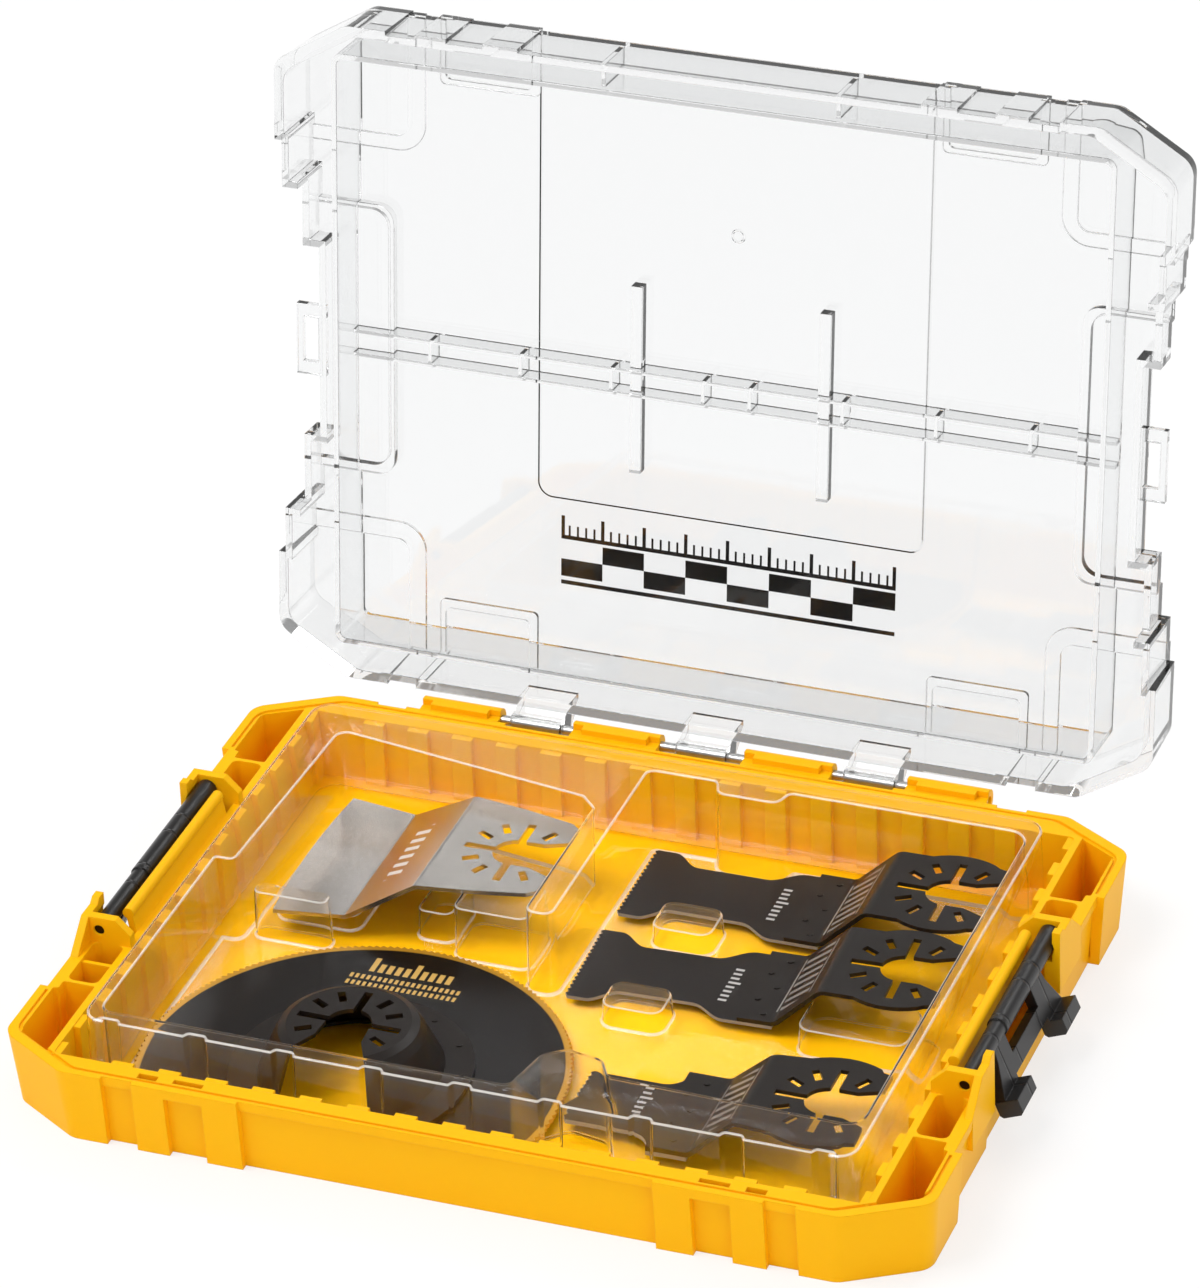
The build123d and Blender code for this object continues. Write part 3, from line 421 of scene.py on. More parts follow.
@dataclass(frozen=True)
class MouldedPlastic(Finish):
    """Solid moulded plastic: a slight grain, a soft inner glow and ring grooves across Y.

    ring_places are the grooves' distances from the middle, and ring_depth is in grain depths.
    """

    grain: NodeTree | None = None
    grain_depth: float = 0.006
    glow: float = 0.0
    glow_reach: float = 2.0
    glow_colour: Colour = (1.0, 0.45, 0.05)
    colour_swing: float = 0.05
    rough_swing: float = 0.12
    ring_places: tuple[float, ...] = ()
    ring_inner: float = 0.1
    ring_outer: float = 0.6
    ring_depth: float = 40.0

    def build(self) -> Material:
        """Builds the finish.

        Returns:
            The material.
        """
        graph = self.start(
            subsurface_weight=self.glow, subsurface_radius=self.glow_colour,
            subsurface_scale=self.glow_reach * MM,
        )
        grain = graph.group(self.grain, graph.place)
        dark = tuple(c * (1 - self.colour_swing) for c in self.colour)
        light = tuple(min(1.0, c * (1 + self.colour_swing)) for c in self.colour)
        tint = graph.math("ADD", grain["Shift"], 0.5)
        graph.drive("Base Color", graph.blend(tint, (*dark, 1), (*light, 1)))
        rough = graph.math("MULTIPLY_ADD", grain["Shift"], self.rough_swing, self.roughness)
        graph.drive("Roughness", rough)
        height = grain["Height"]
        if self.ring_places:
            along = graph.math("MULTIPLY", graph.split(graph.place)[1], PER_METRE)
            along = graph.math("ABSOLUTE", along)
            for middle in self.ring_places:
                off = graph.math("ABSOLUTE", graph.math("SUBTRACT", along, middle))
                ring = graph.ramp(off, self.ring_inner, self.ring_outer, self.ring_depth, 0.0)
                height = graph.math("SUBTRACT", height, ring)
        self.bump(graph, height, self.grain_depth)
        return graph.material


@dataclass(frozen=True)
class ClearPlastic(Finish):
    """Clear plastic that refracts. Its shadow is mostly let through: shade is what it keeps."""

    grain: NodeTree | None = None
    index: float = 1.5
    shade: float = 0.12
    wave: float = 30.0
    wave_depth: float = 0.004
    rough_swing: float = 0.02
    skin: float = 0.0
    skin_index: float = 1.34
    skin_roughness: float = 0.02
    clarity: float = 1.0

    def relief(self, graph: MaterialGraph, height: NodeSocket) -> NodeSocket:
        """Returns the height to use; other clear finishes add their moulded lines here."""
        return height

    def build(self) -> Material:
        """Builds the finish.

        Returns:
            The material.
        """
        graph = self.start(
            transmission_weight=self.clarity, ior=self.index, coat_weight=self.skin,
            coat_ior=self.skin_index, coat_roughness=self.skin_roughness,
        )
        shadow = graph.add("LightPath").outputs["Is Shadow Ray"]
        let_through = graph.math("MULTIPLY", shadow, 1 - self.shade)
        graph.drive("Alpha", graph.math("SUBTRACT", 1.0, let_through))
        grain = graph.group(self.grain, graph.place, wave=self.wave)
        height = self.relief(graph, grain["Height"])
        self.bump(graph, height, self.wave_depth)
        rough = graph.math("MULTIPLY_ADD", grain["Shift"], self.rough_swing, self.roughness)
        graph.drive("Roughness", rough)
        return graph.material


@dataclass(frozen=True)
class LidPlastic(ClearPlastic):
    """The lid's clear plastic, with the moulded outline of its panel and its gate mark.

    Each line is (inner, outer): full height within inner of its middle, none past outer.
    """

    panel_centre: Point = (-0.8, -30.0)
    panel_half: Point = (55.7, 70.0)
    panel_radius: float = 4.0
    panel_line: Point = (0.05, 0.5)
    gate: Point = (0.3, -44.3)
    gate_radius: float = 1.7
    gate_line: Point = (0.1, 0.35)
    line_rise: float = 60.0
    face: float = 41.4
    face_reach: float = 0.3

    def relief(self, graph: MaterialGraph, height: NodeSocket) -> NodeSocket:
        """Adds a thin rounded frame and a ring to the height, on the lid's outer face.

        The lid's place is turned about its hinge back to closed. There the frame is where the
        signed distance to a rounded rectangle is near 0: with q the distances past the
        rectangle's half sizes less its radius, length(max(q, 0)) + min(max(q), 0) less the radius.

        Args:
            graph: the material's graph.
            height: the height so far.

        Returns:
            The height with both.
        """
        angle = math.radians(OPEN_ANGLE)
        pivot = Vector((0, *HINGE)) * MM
        closed = graph.add(
            "Mapping", vector_type="POINT", rotation=(angle, 0, 0),
            location=pivot - Matrix.Rotation(angle, 3, "X") @ pivot,
        )
        graph.join(graph.place, closed.inputs["Vector"])
        parts = graph.split(closed.outputs[0])
        flat = [graph.math("MULTIPLY", parts[i], PER_METRE) for i in (0, 1)]
        past = []
        for value, middle, half in zip(flat, self.panel_centre, self.panel_half):
            off = graph.math("ABSOLUTE", graph.math("SUBTRACT", value, middle))
            past.append(graph.math("SUBTRACT", off, half - self.panel_radius))
        over = [graph.math("POWER", graph.math("MAXIMUM", q, 0.0), 2.0) for q in past]
        outer = graph.math("SQRT", graph.math("ADD", *over))
        inner = graph.math("MINIMUM", graph.math("MAXIMUM", *past), 0.0)
        frame_gap = graph.math("SUBTRACT", graph.math("ADD", outer, inner), self.panel_radius)
        away = [
            graph.math("POWER", graph.math("SUBTRACT", value, middle), 2.0)
            for value, middle in zip(flat, self.gate)
        ]
        ring = graph.math("SQRT", graph.math("ADD", *away))
        ring_gap = graph.math("SUBTRACT", ring, self.gate_radius)
        lines = [
            graph.ramp(graph.math("ABSOLUTE", gap), *line, self.line_rise, 0.0)
            for gap, line in ((frame_gap, self.panel_line), (ring_gap, self.gate_line))
        ]
        on_face = graph.near(parts[2], self.face * MM, self.face_reach * MM)
        lines = graph.math("MULTIPLY", graph.math("MAXIMUM", *lines), on_face)
        return graph.math("ADD", height, lines)


@dataclass(frozen=True)
class GroundSteel(Finish):
    """Bare or coated steel with ground lines along Y and plain printed ticks."""

    lines: NodeTree | None = None
    ticks: NodeTree | None = None
    metallic: float = 1.0
    line_depth: float = 0.0012
    swing: float = 0.12
    mark_depth: float = 0.25
    mark_colour: Colour = (0.35, 0.33, 0.31)
    cut_colour: Colour | None = None
    cut_rise: float = 0.3
    bands: tuple[TickBand, ...] = ()
    print_colour: Colour = (0.5, 0.5, 0.5)
    print_rise: float = 0.2
    rim_colour: Colour = (0.6, 0.3, 0.03)
    rim_metal: float = 0.3

    def rim(self, graph: MaterialGraph) -> NodeSocket | None:
        """Returns the mask of a metal rim; a plain blade has none."""
        return None

    def build(self) -> Material:
        """Builds the finish: cut edges are faces that stand upright, and print lies on upper ones.

        Returns:
            The material.
        """
        graph = self.start(metallic=self.metallic)
        ground = graph.group(self.lines, graph.place)
        marks = graph.math("MULTIPLY", ground["Marks"], self.mark_depth)
        colour = graph.blend(marks, (*self.colour, 1), (*self.mark_colour, 1))
        rim = self.rim(graph)
        if rim is not None:
            colour = graph.blend(rim, colour, (*self.rim_colour, 1))
            graph.drive("Metallic", graph.math("MULTIPLY", rim, self.rim_metal))
        rise = graph.split(graph.add("TexCoord").outputs["Normal"])[2]
        if self.cut_colour:
            cut = graph.near(rise, 0.0, self.cut_rise)
            colour = graph.blend(cut, colour, (*self.cut_colour, 1))
        if self.bands:
            mask, *others = [band.mask(graph, self.ticks) for band in self.bands]
            for other in others:
                mask = graph.math("MAXIMUM", mask, other)
            on_top = graph.math("GREATER_THAN", rise, self.print_rise)
            mask = graph.math("MULTIPLY", mask, on_top)
            colour = graph.blend(mask, colour, (*self.print_colour, 1))
            if self.metallic > 0:
                metal = graph.math("MULTIPLY_ADD", mask, -self.metallic, self.metallic)
                graph.drive("Metallic", metal)
        graph.drive("Base Color", colour)
        centred = graph.math("SUBTRACT", ground["Lines"], 0.5)
        rough = graph.math("MULTIPLY_ADD", centred, self.swing, self.roughness)
        graph.drive("Roughness", rough)
        self.bump(graph, ground["Lines"], self.line_depth)
        return graph.material


@dataclass(frozen=True)
class GoldRimmed(GroundSteel):
    """Black-coated steel whose toothed rim is gold, by distance from the disc's centre."""

    centre: Point = (-43.5, -51.5)
    rim_start: float = 55.7
    rim_full: float = 56.1

    def rim(self, graph: MaterialGraph) -> NodeSocket:
        """Masks the rim by a ramp of the distance in plan from the centre.

        Args:
            graph: the material's graph.

        Returns:
            1 on the rim.
        """
        centred = graph.add("Mapping", location=(-self.centre[0] * MM, -self.centre[1] * MM, 0))
        graph.join(graph.place, centred.inputs["Vector"])
        flat = graph.add("VectorMath", operation="MULTIPLY")
        graph.feed(list(flat.inputs), (centred.outputs[0], (1, 1, 0)))
        length = graph.add("VectorMath", operation="LENGTH")
        graph.join(flat.outputs[0], length.inputs[0])
        reach = length.outputs["Value"]
        return graph.ramp(reach, self.rim_start * MM, self.rim_full * MM, 0.0, 1.0)


@dataclass(frozen=True)
class Ink(Finish):
    """Printed ink on the lid: dense, with a slight unevenness."""

    grain: NodeTree | None = None
    lightest: float = 1.6
    depth: float = 0.002

    def build(self) -> Material:
        """Builds the finish.

        Returns:
            The material.
        """
        graph = self.start()
        grain = graph.group(self.grain, graph.place)
        tint = graph.math("ADD", grain["Shift"], 0.5)
        lighter = tuple(c * self.lightest for c in self.colour)
        graph.drive("Base Color", graph.blend(tint, (*self.colour, 1), (*lighter, 1)))
        self.bump(graph, grain["Height"], self.depth)
        return graph.material


class Finishes:
    """Every finish of the case, built once."""

    def __init__(self) -> None:
        """Builds the shared groups and the materials."""
        grain = build_grain_group()
        self.brushed = {"lines": build_brush_group(), "ticks": build_tick_group()}
        self.yellow = MouldedPlastic(
            "yellow_shell", (1.0, 0.49, 0.002), roughness=0.42, gloss=0.09, edge=0.5, grain=grain,
            grain_depth=0.004, glow=0.12, glow_reach=2.5,
        ).build()
        self.black = MouldedPlastic(
            "black_latch", (0.010, 0.009, 0.009), roughness=0.34, gloss=0.45, edge=0.5,
            grain=grain, grain_depth=0.008, ring_places=(8.5, 17.0),
        ).build()
        self.lid = LidPlastic(
            "clear_lid", (0.915, 0.92, 0.922), roughness=0.02, edge=0.35, grain=grain, shade=0.1,
        ).build()
        sheet = {"grain": grain, "index": 1.06, "wave_depth": 0.008, "skin": 1.0}
        self.insert = ClearPlastic(
            "clear_insert", (0.995, 0.985, 0.975), roughness=0.02, shade=0.02, **sheet,
        ).build()
        # Painted highlight: a whitish, partly opaque finish on the insert's leaning bends, standing
        # in for bright reflected lines along its lips and feet.
        self.bend = ClearPlastic(
            "insert_bend", (1.0, 0.96, 0.9), roughness=0.1, shade=0.2, clarity=0.62, **sheet,
        ).build()
        self.wire = GroundSteel("drawn_wire", (0.5, 0.5, 0.5), 0.3, **self.brushed).build()
        self.dark_wire = GroundSteel(
            "blackened_wire", (0.03, 0.026, 0.024), roughness=0.35, gloss=0.3, **self.brushed,
        ).build()
        self.ink = Ink(
            "black_ink", (0.006, 0.006, 0.006), roughness=0.35, gloss=0.3, grain=grain,
        ).build()
        slanted = TickBand((-61.7, 36.2), (2.4, 13.5), pitch=4.2, width=1.9, slant=0.3)
        self.steel = GroundSteel(
            "ground_steel", (0.66, 0.62, 0.58), roughness=0.22, bands=(slanted,),
            print_colour=(0.72, 0.68, 0.62), **self.brushed,
        ).build()
        self.coated = self.black_coated("black_coated")
        self.disc = GoldRimmed(
            "gold_rimmed", (0.007, 0.005, 0.004), roughness=0.25, gloss=0.35, metallic=0.0,
            swing=0.08, mark_colour=(0.02, 0.015, 0.012), bands=self.disc_bands(),
            print_colour=(0.62, 0.38, 0.10), **self.brushed,
        ).build()

    def disc_bands(self) -> tuple[TickBand, ...]:
        """Lays out the disc's plain ticks.

        Returns:
            One tall row over two low ones.
        """
        middle, low_rows = -45.0, (-10.4, -13.6)
        tall = TickBand(
            (middle, -4.3), (12.0, 3.2), pitch=2.4, width=1.5, short=0.62, along=Along.X,
        )
        low = (
            TickBand((middle, y), (16.0, 1.0), pitch=1.6, width=0.9, along=Along.X)
            for y in low_rows
        )
        return (tall, *low)

    def black_coated(
        self, name: str, bands: tuple[TickBand, ...] = (), tint: Colour = (0.26, 0.24, 0.22),
        cut: Colour | None = None,
    ) -> Material:
        """Builds black-coated steel: near black is the coat's own colour, and its brown warmth is
        painted reflection of the yellow case around it.

        Args:
            name: the material's name.
            bands: its printed ticks.
            tint: their colour.
            cut: colour of bare cut edges, or None where the coat covers them.

        Returns:
            The material.
        """
        return GroundSteel(
            # Brown warmth in the coat and its deep lines is painted reflection of the yellow case.
            name, (0.013, 0.009, 0.007), roughness=0.36, gloss=0.32, metallic=0.0,
            line_depth=0.002, swing=0.1, mark_colour=(0.04, 0.03, 0.025), bands=bands,
            print_colour=tint, cut_colour=cut, **self.brushed,
        ).build()


# Surfaces.


def place_object(name: str, data: ID) -> Object:
    """Puts an object in the scene.

    Args:
        name: the object's name.
        data: its mesh, camera or lamp.

    Returns:
        The object.
    """
    piece = bpy.data.objects.new(name, data)
    bpy.context.scene.collection.objects.link(piece)
    return piece


@dataclass(frozen=True)
class RoundedLoop:
    """A closed outline in plan with rounded corners, counter-clockwise, in millimetres."""

    corners: tuple[Point, ...]
    radii: tuple[float, ...] | float
    steps: int = 6
    least_radius: float = 0.02

    def at(self, inset: float) -> np.ndarray:
        """Points of the outline moved inwards.

        Each side moves in by the inset, and each corner is an arc whose radius shrinks by the
        inset where the outline turns left and grows by it where it turns right.

        Args:
            inset: distance inwards; negative is outwards.

        Returns:
            Points, one row each, always as many for every inset.
        """
        point = np.array(self.corners, float)
        before = point - np.roll(point, 1, axis=0)
        before /= np.linalg.norm(before, axis=1, keepdims=True)
        after = np.roll(before, -1, axis=0)
        cross = before[:, 0] * after[:, 1] - before[:, 1] * after[:, 0]
        turn = np.arctan2(cross, (before * after).sum(axis=1))
        normal_in = np.stack((-before[:, 1], before[:, 0]), axis=1)
        normal_out = np.stack((-after[:, 1], after[:, 0]), axis=1)
        overlap = (normal_in * normal_out).sum(axis=1, keepdims=True)
        bisector = (normal_in + normal_out) / (1 + overlap)
        side = np.where(turn >= 0, 1.0, -1.0)
        given = np.broadcast_to(np.array(self.radii, float), side.shape)
        radius = np.maximum(given - side * inset, self.least_radius)
        centre = point + bisector * (inset + side * radius)[:, None]
        arm = -(side * radius)[:, None] * normal_in
        angle = turn[:, None] * np.linspace(0, 1, self.steps + 1)[None, :]
        x = centre[:, :1] + np.cos(angle) * arm[:, :1] - np.sin(angle) * arm[:, 1:]
        y = centre[:, 1:] + np.sin(angle) * arm[:, :1] + np.cos(angle) * arm[:, 1:]
        return np.stack((x.ravel(), y.ravel()), axis=1)


@dataclass
class Skin:
    """Vertices and faces gathered from several surfaces, then welded into one mesh."""

    points: list[np.ndarray] = field(default_factory=list)
    faces: list[tuple[int, ...]] = field(default_factory=list)
    count: int = 0

    def add(self, points: np.ndarray, faces: list[tuple[int, ...]]) -> None:
        """Adds a surface.

        Args:
            points: rows of x, y, z in millimetres.
            faces: vertex numbers within those rows.
        """
        self.points.append(points)
        self.faces.extend(tuple(int(v) + self.count for v in face) for face in faces)
        self.count += len(points)

    def band(self, loop: RoundedLoop, profile: list[Point]) -> None:
        """Carries a profile round a loop.

        Each point of the profile gives one ring: the loop at that point's inset and height.

        Args:
            loop: the outline.
            profile: (inset, height) pairs; going inwards and down, the faces look inwards and up.
        """
        rings = [(loop.at(inset), z) for inset, z in profile]
        rows = [np.column_stack((ring, np.full(len(ring), z))) for ring, z in rings]
        size = len(rows[0])
        here = np.arange(size)
        ahead = np.roll(here, -1)
        quads = []
        for row in range(len(rows) - 1):
            low = row * size
            quads.extend(zip(here + low, ahead + low, ahead + low + size, here + low + size))
        self.add(np.vstack(rows), quads)

    def cap(self, outline: np.ndarray, holes: list[np.ndarray], z: float) -> None:
        """Fills a flat area, facing up.

        Args:
            outline: points of the area's edge.
            holes: points of each hole's edge.
            z: height of the area.
        """
        loops = [outline, *holes]
        flat = [Vector(p) for loop in loops for p in loop.tolist()]
        edges = []
        start = 0
        for loop in loops:
            edges.extend((start + i, start + (i + 1) % len(loop)) for i in range(len(loop)))
            start += len(loop)
        inside_only, tolerance = 1, 1e-5
        verts, _, tris, *_ = delaunay_2d_cdt(flat, edges, [], inside_only, tolerance)
        where = np.array([tuple(v) for v in verts])
        kept = [tri for tri in tris if self._inside(where[list(tri)].mean(axis=0), outline, holes)]
        self.add(np.column_stack((where, np.full(len(where), z))), kept)

    @staticmethod
    def _inside(point: np.ndarray, outline: np.ndarray, holes: list[np.ndarray]) -> bool:
        """Tells whether a point is in the outline and in no hole, by counting crossings.

        Args:
            point: x and y.
            outline: points of the area's edge.
            holes: points of each hole's edge.

        Returns:
            True where the point is in the area.
        """
        def crossings(loop: np.ndarray) -> bool:
            """Tells whether a ray from the point crosses a loop an odd number of times."""
            other = np.roll(loop, -1, axis=0)
            spans = (loop[:, 1] > point[1]) != (other[:, 1] > point[1])
            rise = np.where(other[:, 1] == loop[:, 1], 1.0, other[:, 1] - loop[:, 1])
            at = loop[:, 0] + (point[1] - loop[:, 1]) / rise * (other[:, 0] - loop[:, 0])
            return bool((spans & (point[0] < at)).sum() % 2)

        return crossings(outline) and not any(crossings(hole) for hole in holes)

    def build(self, name: str, smooth_angle: float = 40.0) -> Object:
        """Welds the surfaces into one object.

        Args:
            name: the object's name.
            smooth_angle: edges sharper than this stay sharp, in degrees.

        Returns:
            The object, linked to the scene, its mesh in metres.
        """
        mesh = bpy.data.meshes.new(name)
        mesh.from_pydata((np.vstack(self.points) * MM).tolist(), [], self.faces)
        work = bmesh.new()
        work.from_mesh(mesh)
        bmesh.ops.remove_doubles(work, verts=work.verts, dist=WELD * MM)
        work.to_mesh(mesh)
        work.free()
        mesh.shade_smooth()
        mesh.set_sharp_from_angle(angle=math.radians(smooth_angle))
        return place_object(name, mesh)


def rounded_profile(
    top: float, bottom: float, lip: float, foot: float, lean: float,
) -> list[Point]:
    """Profiles a formed wall: a quarter round, a leaning wall and another quarter round.

    The lip is a quarter circle of radius lip whose centre lies below the top outside the
    hollow; the foot is a quarter circle of radius foot that ends level with the floor.

    Args:
        top: height of the upper level.
        bottom: height of the lower level.
        lip: radius of the upper round.
        foot: radius of the lower round.
        lean: how far the wall leans inwards between the rounds.

    Returns:
        (inset, height) pairs from the upper level to the lower one.
    """
    turn = np.linspace(0, math.pi / 2, ROUND_POINTS)
    upper = np.stack((lip * np.sin(turn), top - lip + lip * np.cos(turn)), axis=1)
    inset = lip + lean + foot - foot * np.cos(turn)
    lower = np.stack((inset, bottom + foot - foot * np.sin(turn)), axis=1)
    return [tuple(p) for p in np.vstack((upper, lower)).tolist()]


@dataclass
class FormedInsert:
    """The clear formed sheet that holds the blades.

    lean_faces are the least and greatest rise of a normal that marks a bend given the painted
    highlight.
    """

    top: float = 30.0
    floor: float = 4.4
    sheet: float = 0.6
    lip: float = 0.9
    foot: float = 1.0
    lean: float = 0.6
    skirt_bottom: float = 3.0
    skirt_foot: float = 0.05
    skirt_lean: float = 0.5
    half_width: float = 105.5
    front: float = -83.0
    back: float = 80.0
    corner_round: float = 6.0
    flute_pitch: float = 24.4
    flute_width: float = 4.4
    flute_depth: float = 1.6
    flute_flare: float = 0.8
    flute_round: float = 0.7
    flutes: int = 9
    block_round: float = 0.7
    block_lean: float = 0.4
    block_inset: float = 0.4
    lean_faces: Point = (0.3, 0.93)

    def outline(self) -> RoundedLoop:
        """Outlines the top, with flutes along the front.

        Returns:
            The outer outline.
        """
        half, front, back = self.half_width, self.front, self.back
        deep = front + self.flute_depth
        flutes = []
        for i in range(self.flutes):
            x = (i - (self.flutes - 1) / 2) * self.flute_pitch
            w = self.flute_width / 2
            flare = w + self.flute_flare
            flutes += [(x - flare, front), (x - w, deep), (x + w, deep), (x + flare, front)]
        points = [(-half, front), *flutes, (half, front), (half, back), (-half, back)]
        radii = [self.flute_round] * len(flutes)
        radii = [self.corner_round, *radii, *([self.corner_round] * 3)]
        return RoundedLoop(tuple(points), tuple(radii), 5)

    def hollow(self) -> RoundedLoop:
        """Walks round the whole hollow: scraper pocket, blade room and their joins.

        Returns:
            The hollow's edge in the top plane.
        """
        walk = (
            ((-102.5, -78.5), 4), ((12, -78.5), 3), ((15.2, -63.3), 3), ((20.2, -59), 3),
            ((30, -60.7), 3), ((34, -67.5), 3), ((103, -69), 6), ((103, 73.9), 6),
            ((34.5, 73.9), 2.5), ((32.5, 68.2), 2.5), ((16.5, 68.2), 2.5), ((14.5, 73.9), 2.5),
            ((-6.5, 73.9), 3), ((-6.5, -1), 2.2), ((-12.8, -1), 2.2), ((-12.8, 51.2), 2.2),
            ((-17.8, 56.2), 2.2), ((-94.5, 68.3), 4), ((-97, -1), 1.5), ((-102.5, -1), 1.5),
        )
        return RoundedLoop(*zip(*walk))

    def blocks(self) -> list[tuple[RoundedLoop, float]]:
        """Lays out the raised blocks on the floor, from x0, x1, y0, y1, radius and height.

        Returns:
            The outline and the height of each one's top.
        """
        sizes = (
            (-90.6, -67.5, 11.3, 57.3, 3.0, 8.8),
            (-92.6, -72.0, 0.9, 5.4, 1.8, 19.0),
            (-50.6, -41.0, 13.5, 30.0, 2.4, 13.4),
            (-37.7, -16.9, 7.5, 24.0, 2.6, 20.3),
            (10.7, 27.2, 27.8, 40.8, 3.2, 11.0),
            (10.7, 27.2, -11.0, 0.8, 3.2, 11.0),
            (64.3, 93.9, -8.2, 9.0, 3.6, 12.5),
        )
        return [
            (RoundedLoop(((x0, y0), (x1, y0), (x1, y1), (x0, y1)), radius, 5), height)
            for x0, x1, y0, y1, radius, height in sizes
        ]

    def mark_bend_highlights(self, piece: Object) -> None:
        """Gives the painted highlight finish to the sheet's bends, the faces that lean: its lips
        and feet.

        Args:
            piece: the insert, its two finishes in place.
        """
        polygons = piece.data.polygons
        normal = np.empty(len(polygons) * 3)
        polygons.foreach_get("normal", normal)
        rise = normal[2::3]
        low, high = self.lean_faces
        polygons.foreach_set("material_index", ((rise > low) & (rise < high)).astype(np.int32))

    def build(self, finish: Material, bend: Material) -> Object:
        """Makes the insert and dresses it.

        Args:
            finish: the clear sheet's material.
            bend: the whitish, partly opaque material that paints highlights on its bends.

        Returns:
            The insert's object.
        """
        skin = Skin()
        outline, hollow = self.outline(), self.hollow()
        skin.cap(outline.at(self.lip), [hollow.at(0)], self.top)
        skirt = rounded_profile(
            self.top, self.skirt_bottom, self.lip, self.skirt_foot, self.skirt_lean,
        )[:ROUND_POINTS + 1]
        skin.band(outline, [(self.lip - inset, z) for inset, z in skirt][::-1])
        walls = rounded_profile(self.top, self.floor, self.lip, self.foot, self.lean)
        skin.band(hollow, walls)
        feet = []
        for loop, height in self.blocks():
            sides = rounded_profile(
                height, self.floor, self.block_round, self.block_round, self.block_lean,
            )
            skin.band(loop, [(self.block_inset - inset, z) for inset, z in sides][::-1])
            skin.cap(loop.at(self.block_inset), [], height)
            feet.append(loop.at(self.block_inset - sides[-1][0]))
        skin.cap(hollow.at(walls[-1][0]), feet, self.floor)
        piece = skin.build("insert_sheet")
        sheet = piece.modifiers.new("sheet", "SOLIDIFY")
        sheet.thickness = self.sheet * MM
        sheet.offset = -1.0
        piece.data.materials.append(finish)
        piece.data.materials.append(bend)
        self.mark_bend_highlights(piece)
        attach(piece, "insert")
        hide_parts("insert_tray")
        return piece


@dataclass
class LidScale:
    """A plain measuring scale printed on the lid's plate: two rows of blocks over graduated ticks.

    Sizes are for the closed lid, and are turned about the hinge to the open rest position.
    """

    left: float = -50.0
    right: float = 47.4
    low: float = 43.0
    high: float = 66.0
    face: float = 41.41
    thickness: float = 0.06
    cells: int = 8
    block_rows: Point = (15.4, 10.2)
    block_depth: float = 5.2
    ticks_per_cell: int = 5
    tick_foot: float = 8.4
    tick_reach: Point = (6.0, 3.2)
    tick_half: Point = (0.5, 0.3)
    long_bar: Point = (8.2, 9.4)
    top_bar_depth: float = 1.2

    def bars(self) -> np.ndarray:
        """Works out every printed bar; heights in the fields count from the scale's low edge.

        Returns:
            Rows of x0, x1, y0, y1: the frame's two long bars, the blocks, which change rows
            with each cell, and the ticks, of which the first of each cell is a long one.
        """
        cell = (self.right - self.left) / self.cells
        number = np.arange(self.cells)
        x = self.left + number * cell
        y = self.low + np.array(self.block_rows)[number % 2]
        blocks = np.stack((x, x + cell, y, y + self.block_depth), axis=1)
        ticks = np.arange(self.cells * self.ticks_per_cell + 1)
        kind = (ticks % self.ticks_per_cell != 0).astype(int)
        half = np.array(self.tick_half)[kind]
        at = self.left + ticks * cell / self.ticks_per_cell
        at = np.clip(at, self.left + self.tick_half[0], self.right - self.tick_half[0])
        foot = np.full(len(at), self.low + self.tick_foot)
        reach = np.array(self.tick_reach)[kind]
        marks = np.stack((at - half, at + half, foot - reach, foot), axis=1)
        frame_bars = np.array([
            (self.left, self.right, self.high - self.top_bar_depth, self.high),
            (self.left, self.right, *(self.low + height for height in self.long_bar)),
        ])
        return np.vstack((frame_bars, blocks, marks))

    def build(self, finish: Material) -> Object:
        """Makes each bar a thin box and turns them all with the lid.

        Args:
            finish: the ink.

        Returns:
            The print's object.
        """
        bars = self.bars()
        z0, z1 = self.face, self.face + self.thickness
        pick_x, pick_y = [0, 1, 1, 0] * 2, [2, 2, 3, 3] * 2
        level = np.broadcast_to(np.array([z0] * 4 + [z1] * 4), (len(bars), 8))
        corner = np.stack((bars[:, pick_x], bars[:, pick_y], level), axis=2).reshape(-1, 3)
        turn = math.radians(-OPEN_ANGLE)
        dy, dz = corner[:, 1] - HINGE[0], corner[:, 2] - HINGE[1]
        turned = np.stack((
            corner[:, 0],
            HINGE[0] + dy * math.cos(turn) - dz * math.sin(turn),
            HINGE[1] + dy * math.sin(turn) + dz * math.cos(turn),
        ), axis=1)
        sides = [(i, (i + 1) % 4, (i + 1) % 4 + 4, i + 4) for i in range(4)]
        box = np.array([(0, 3, 2, 1), (4, 5, 6, 7), *sides])
        faces = (box[None] + 8 * np.arange(len(bars))[:, None, None]).reshape(-1, 4)
        mesh = bpy.data.meshes.new("lid_scale")
        mesh.from_pydata((turned * MM).tolist(), [], faces.tolist())
        mesh.materials.append(finish)
        piece = place_object("lid_scale", mesh)
        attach(piece, "lid")
        return piece


# Stage.


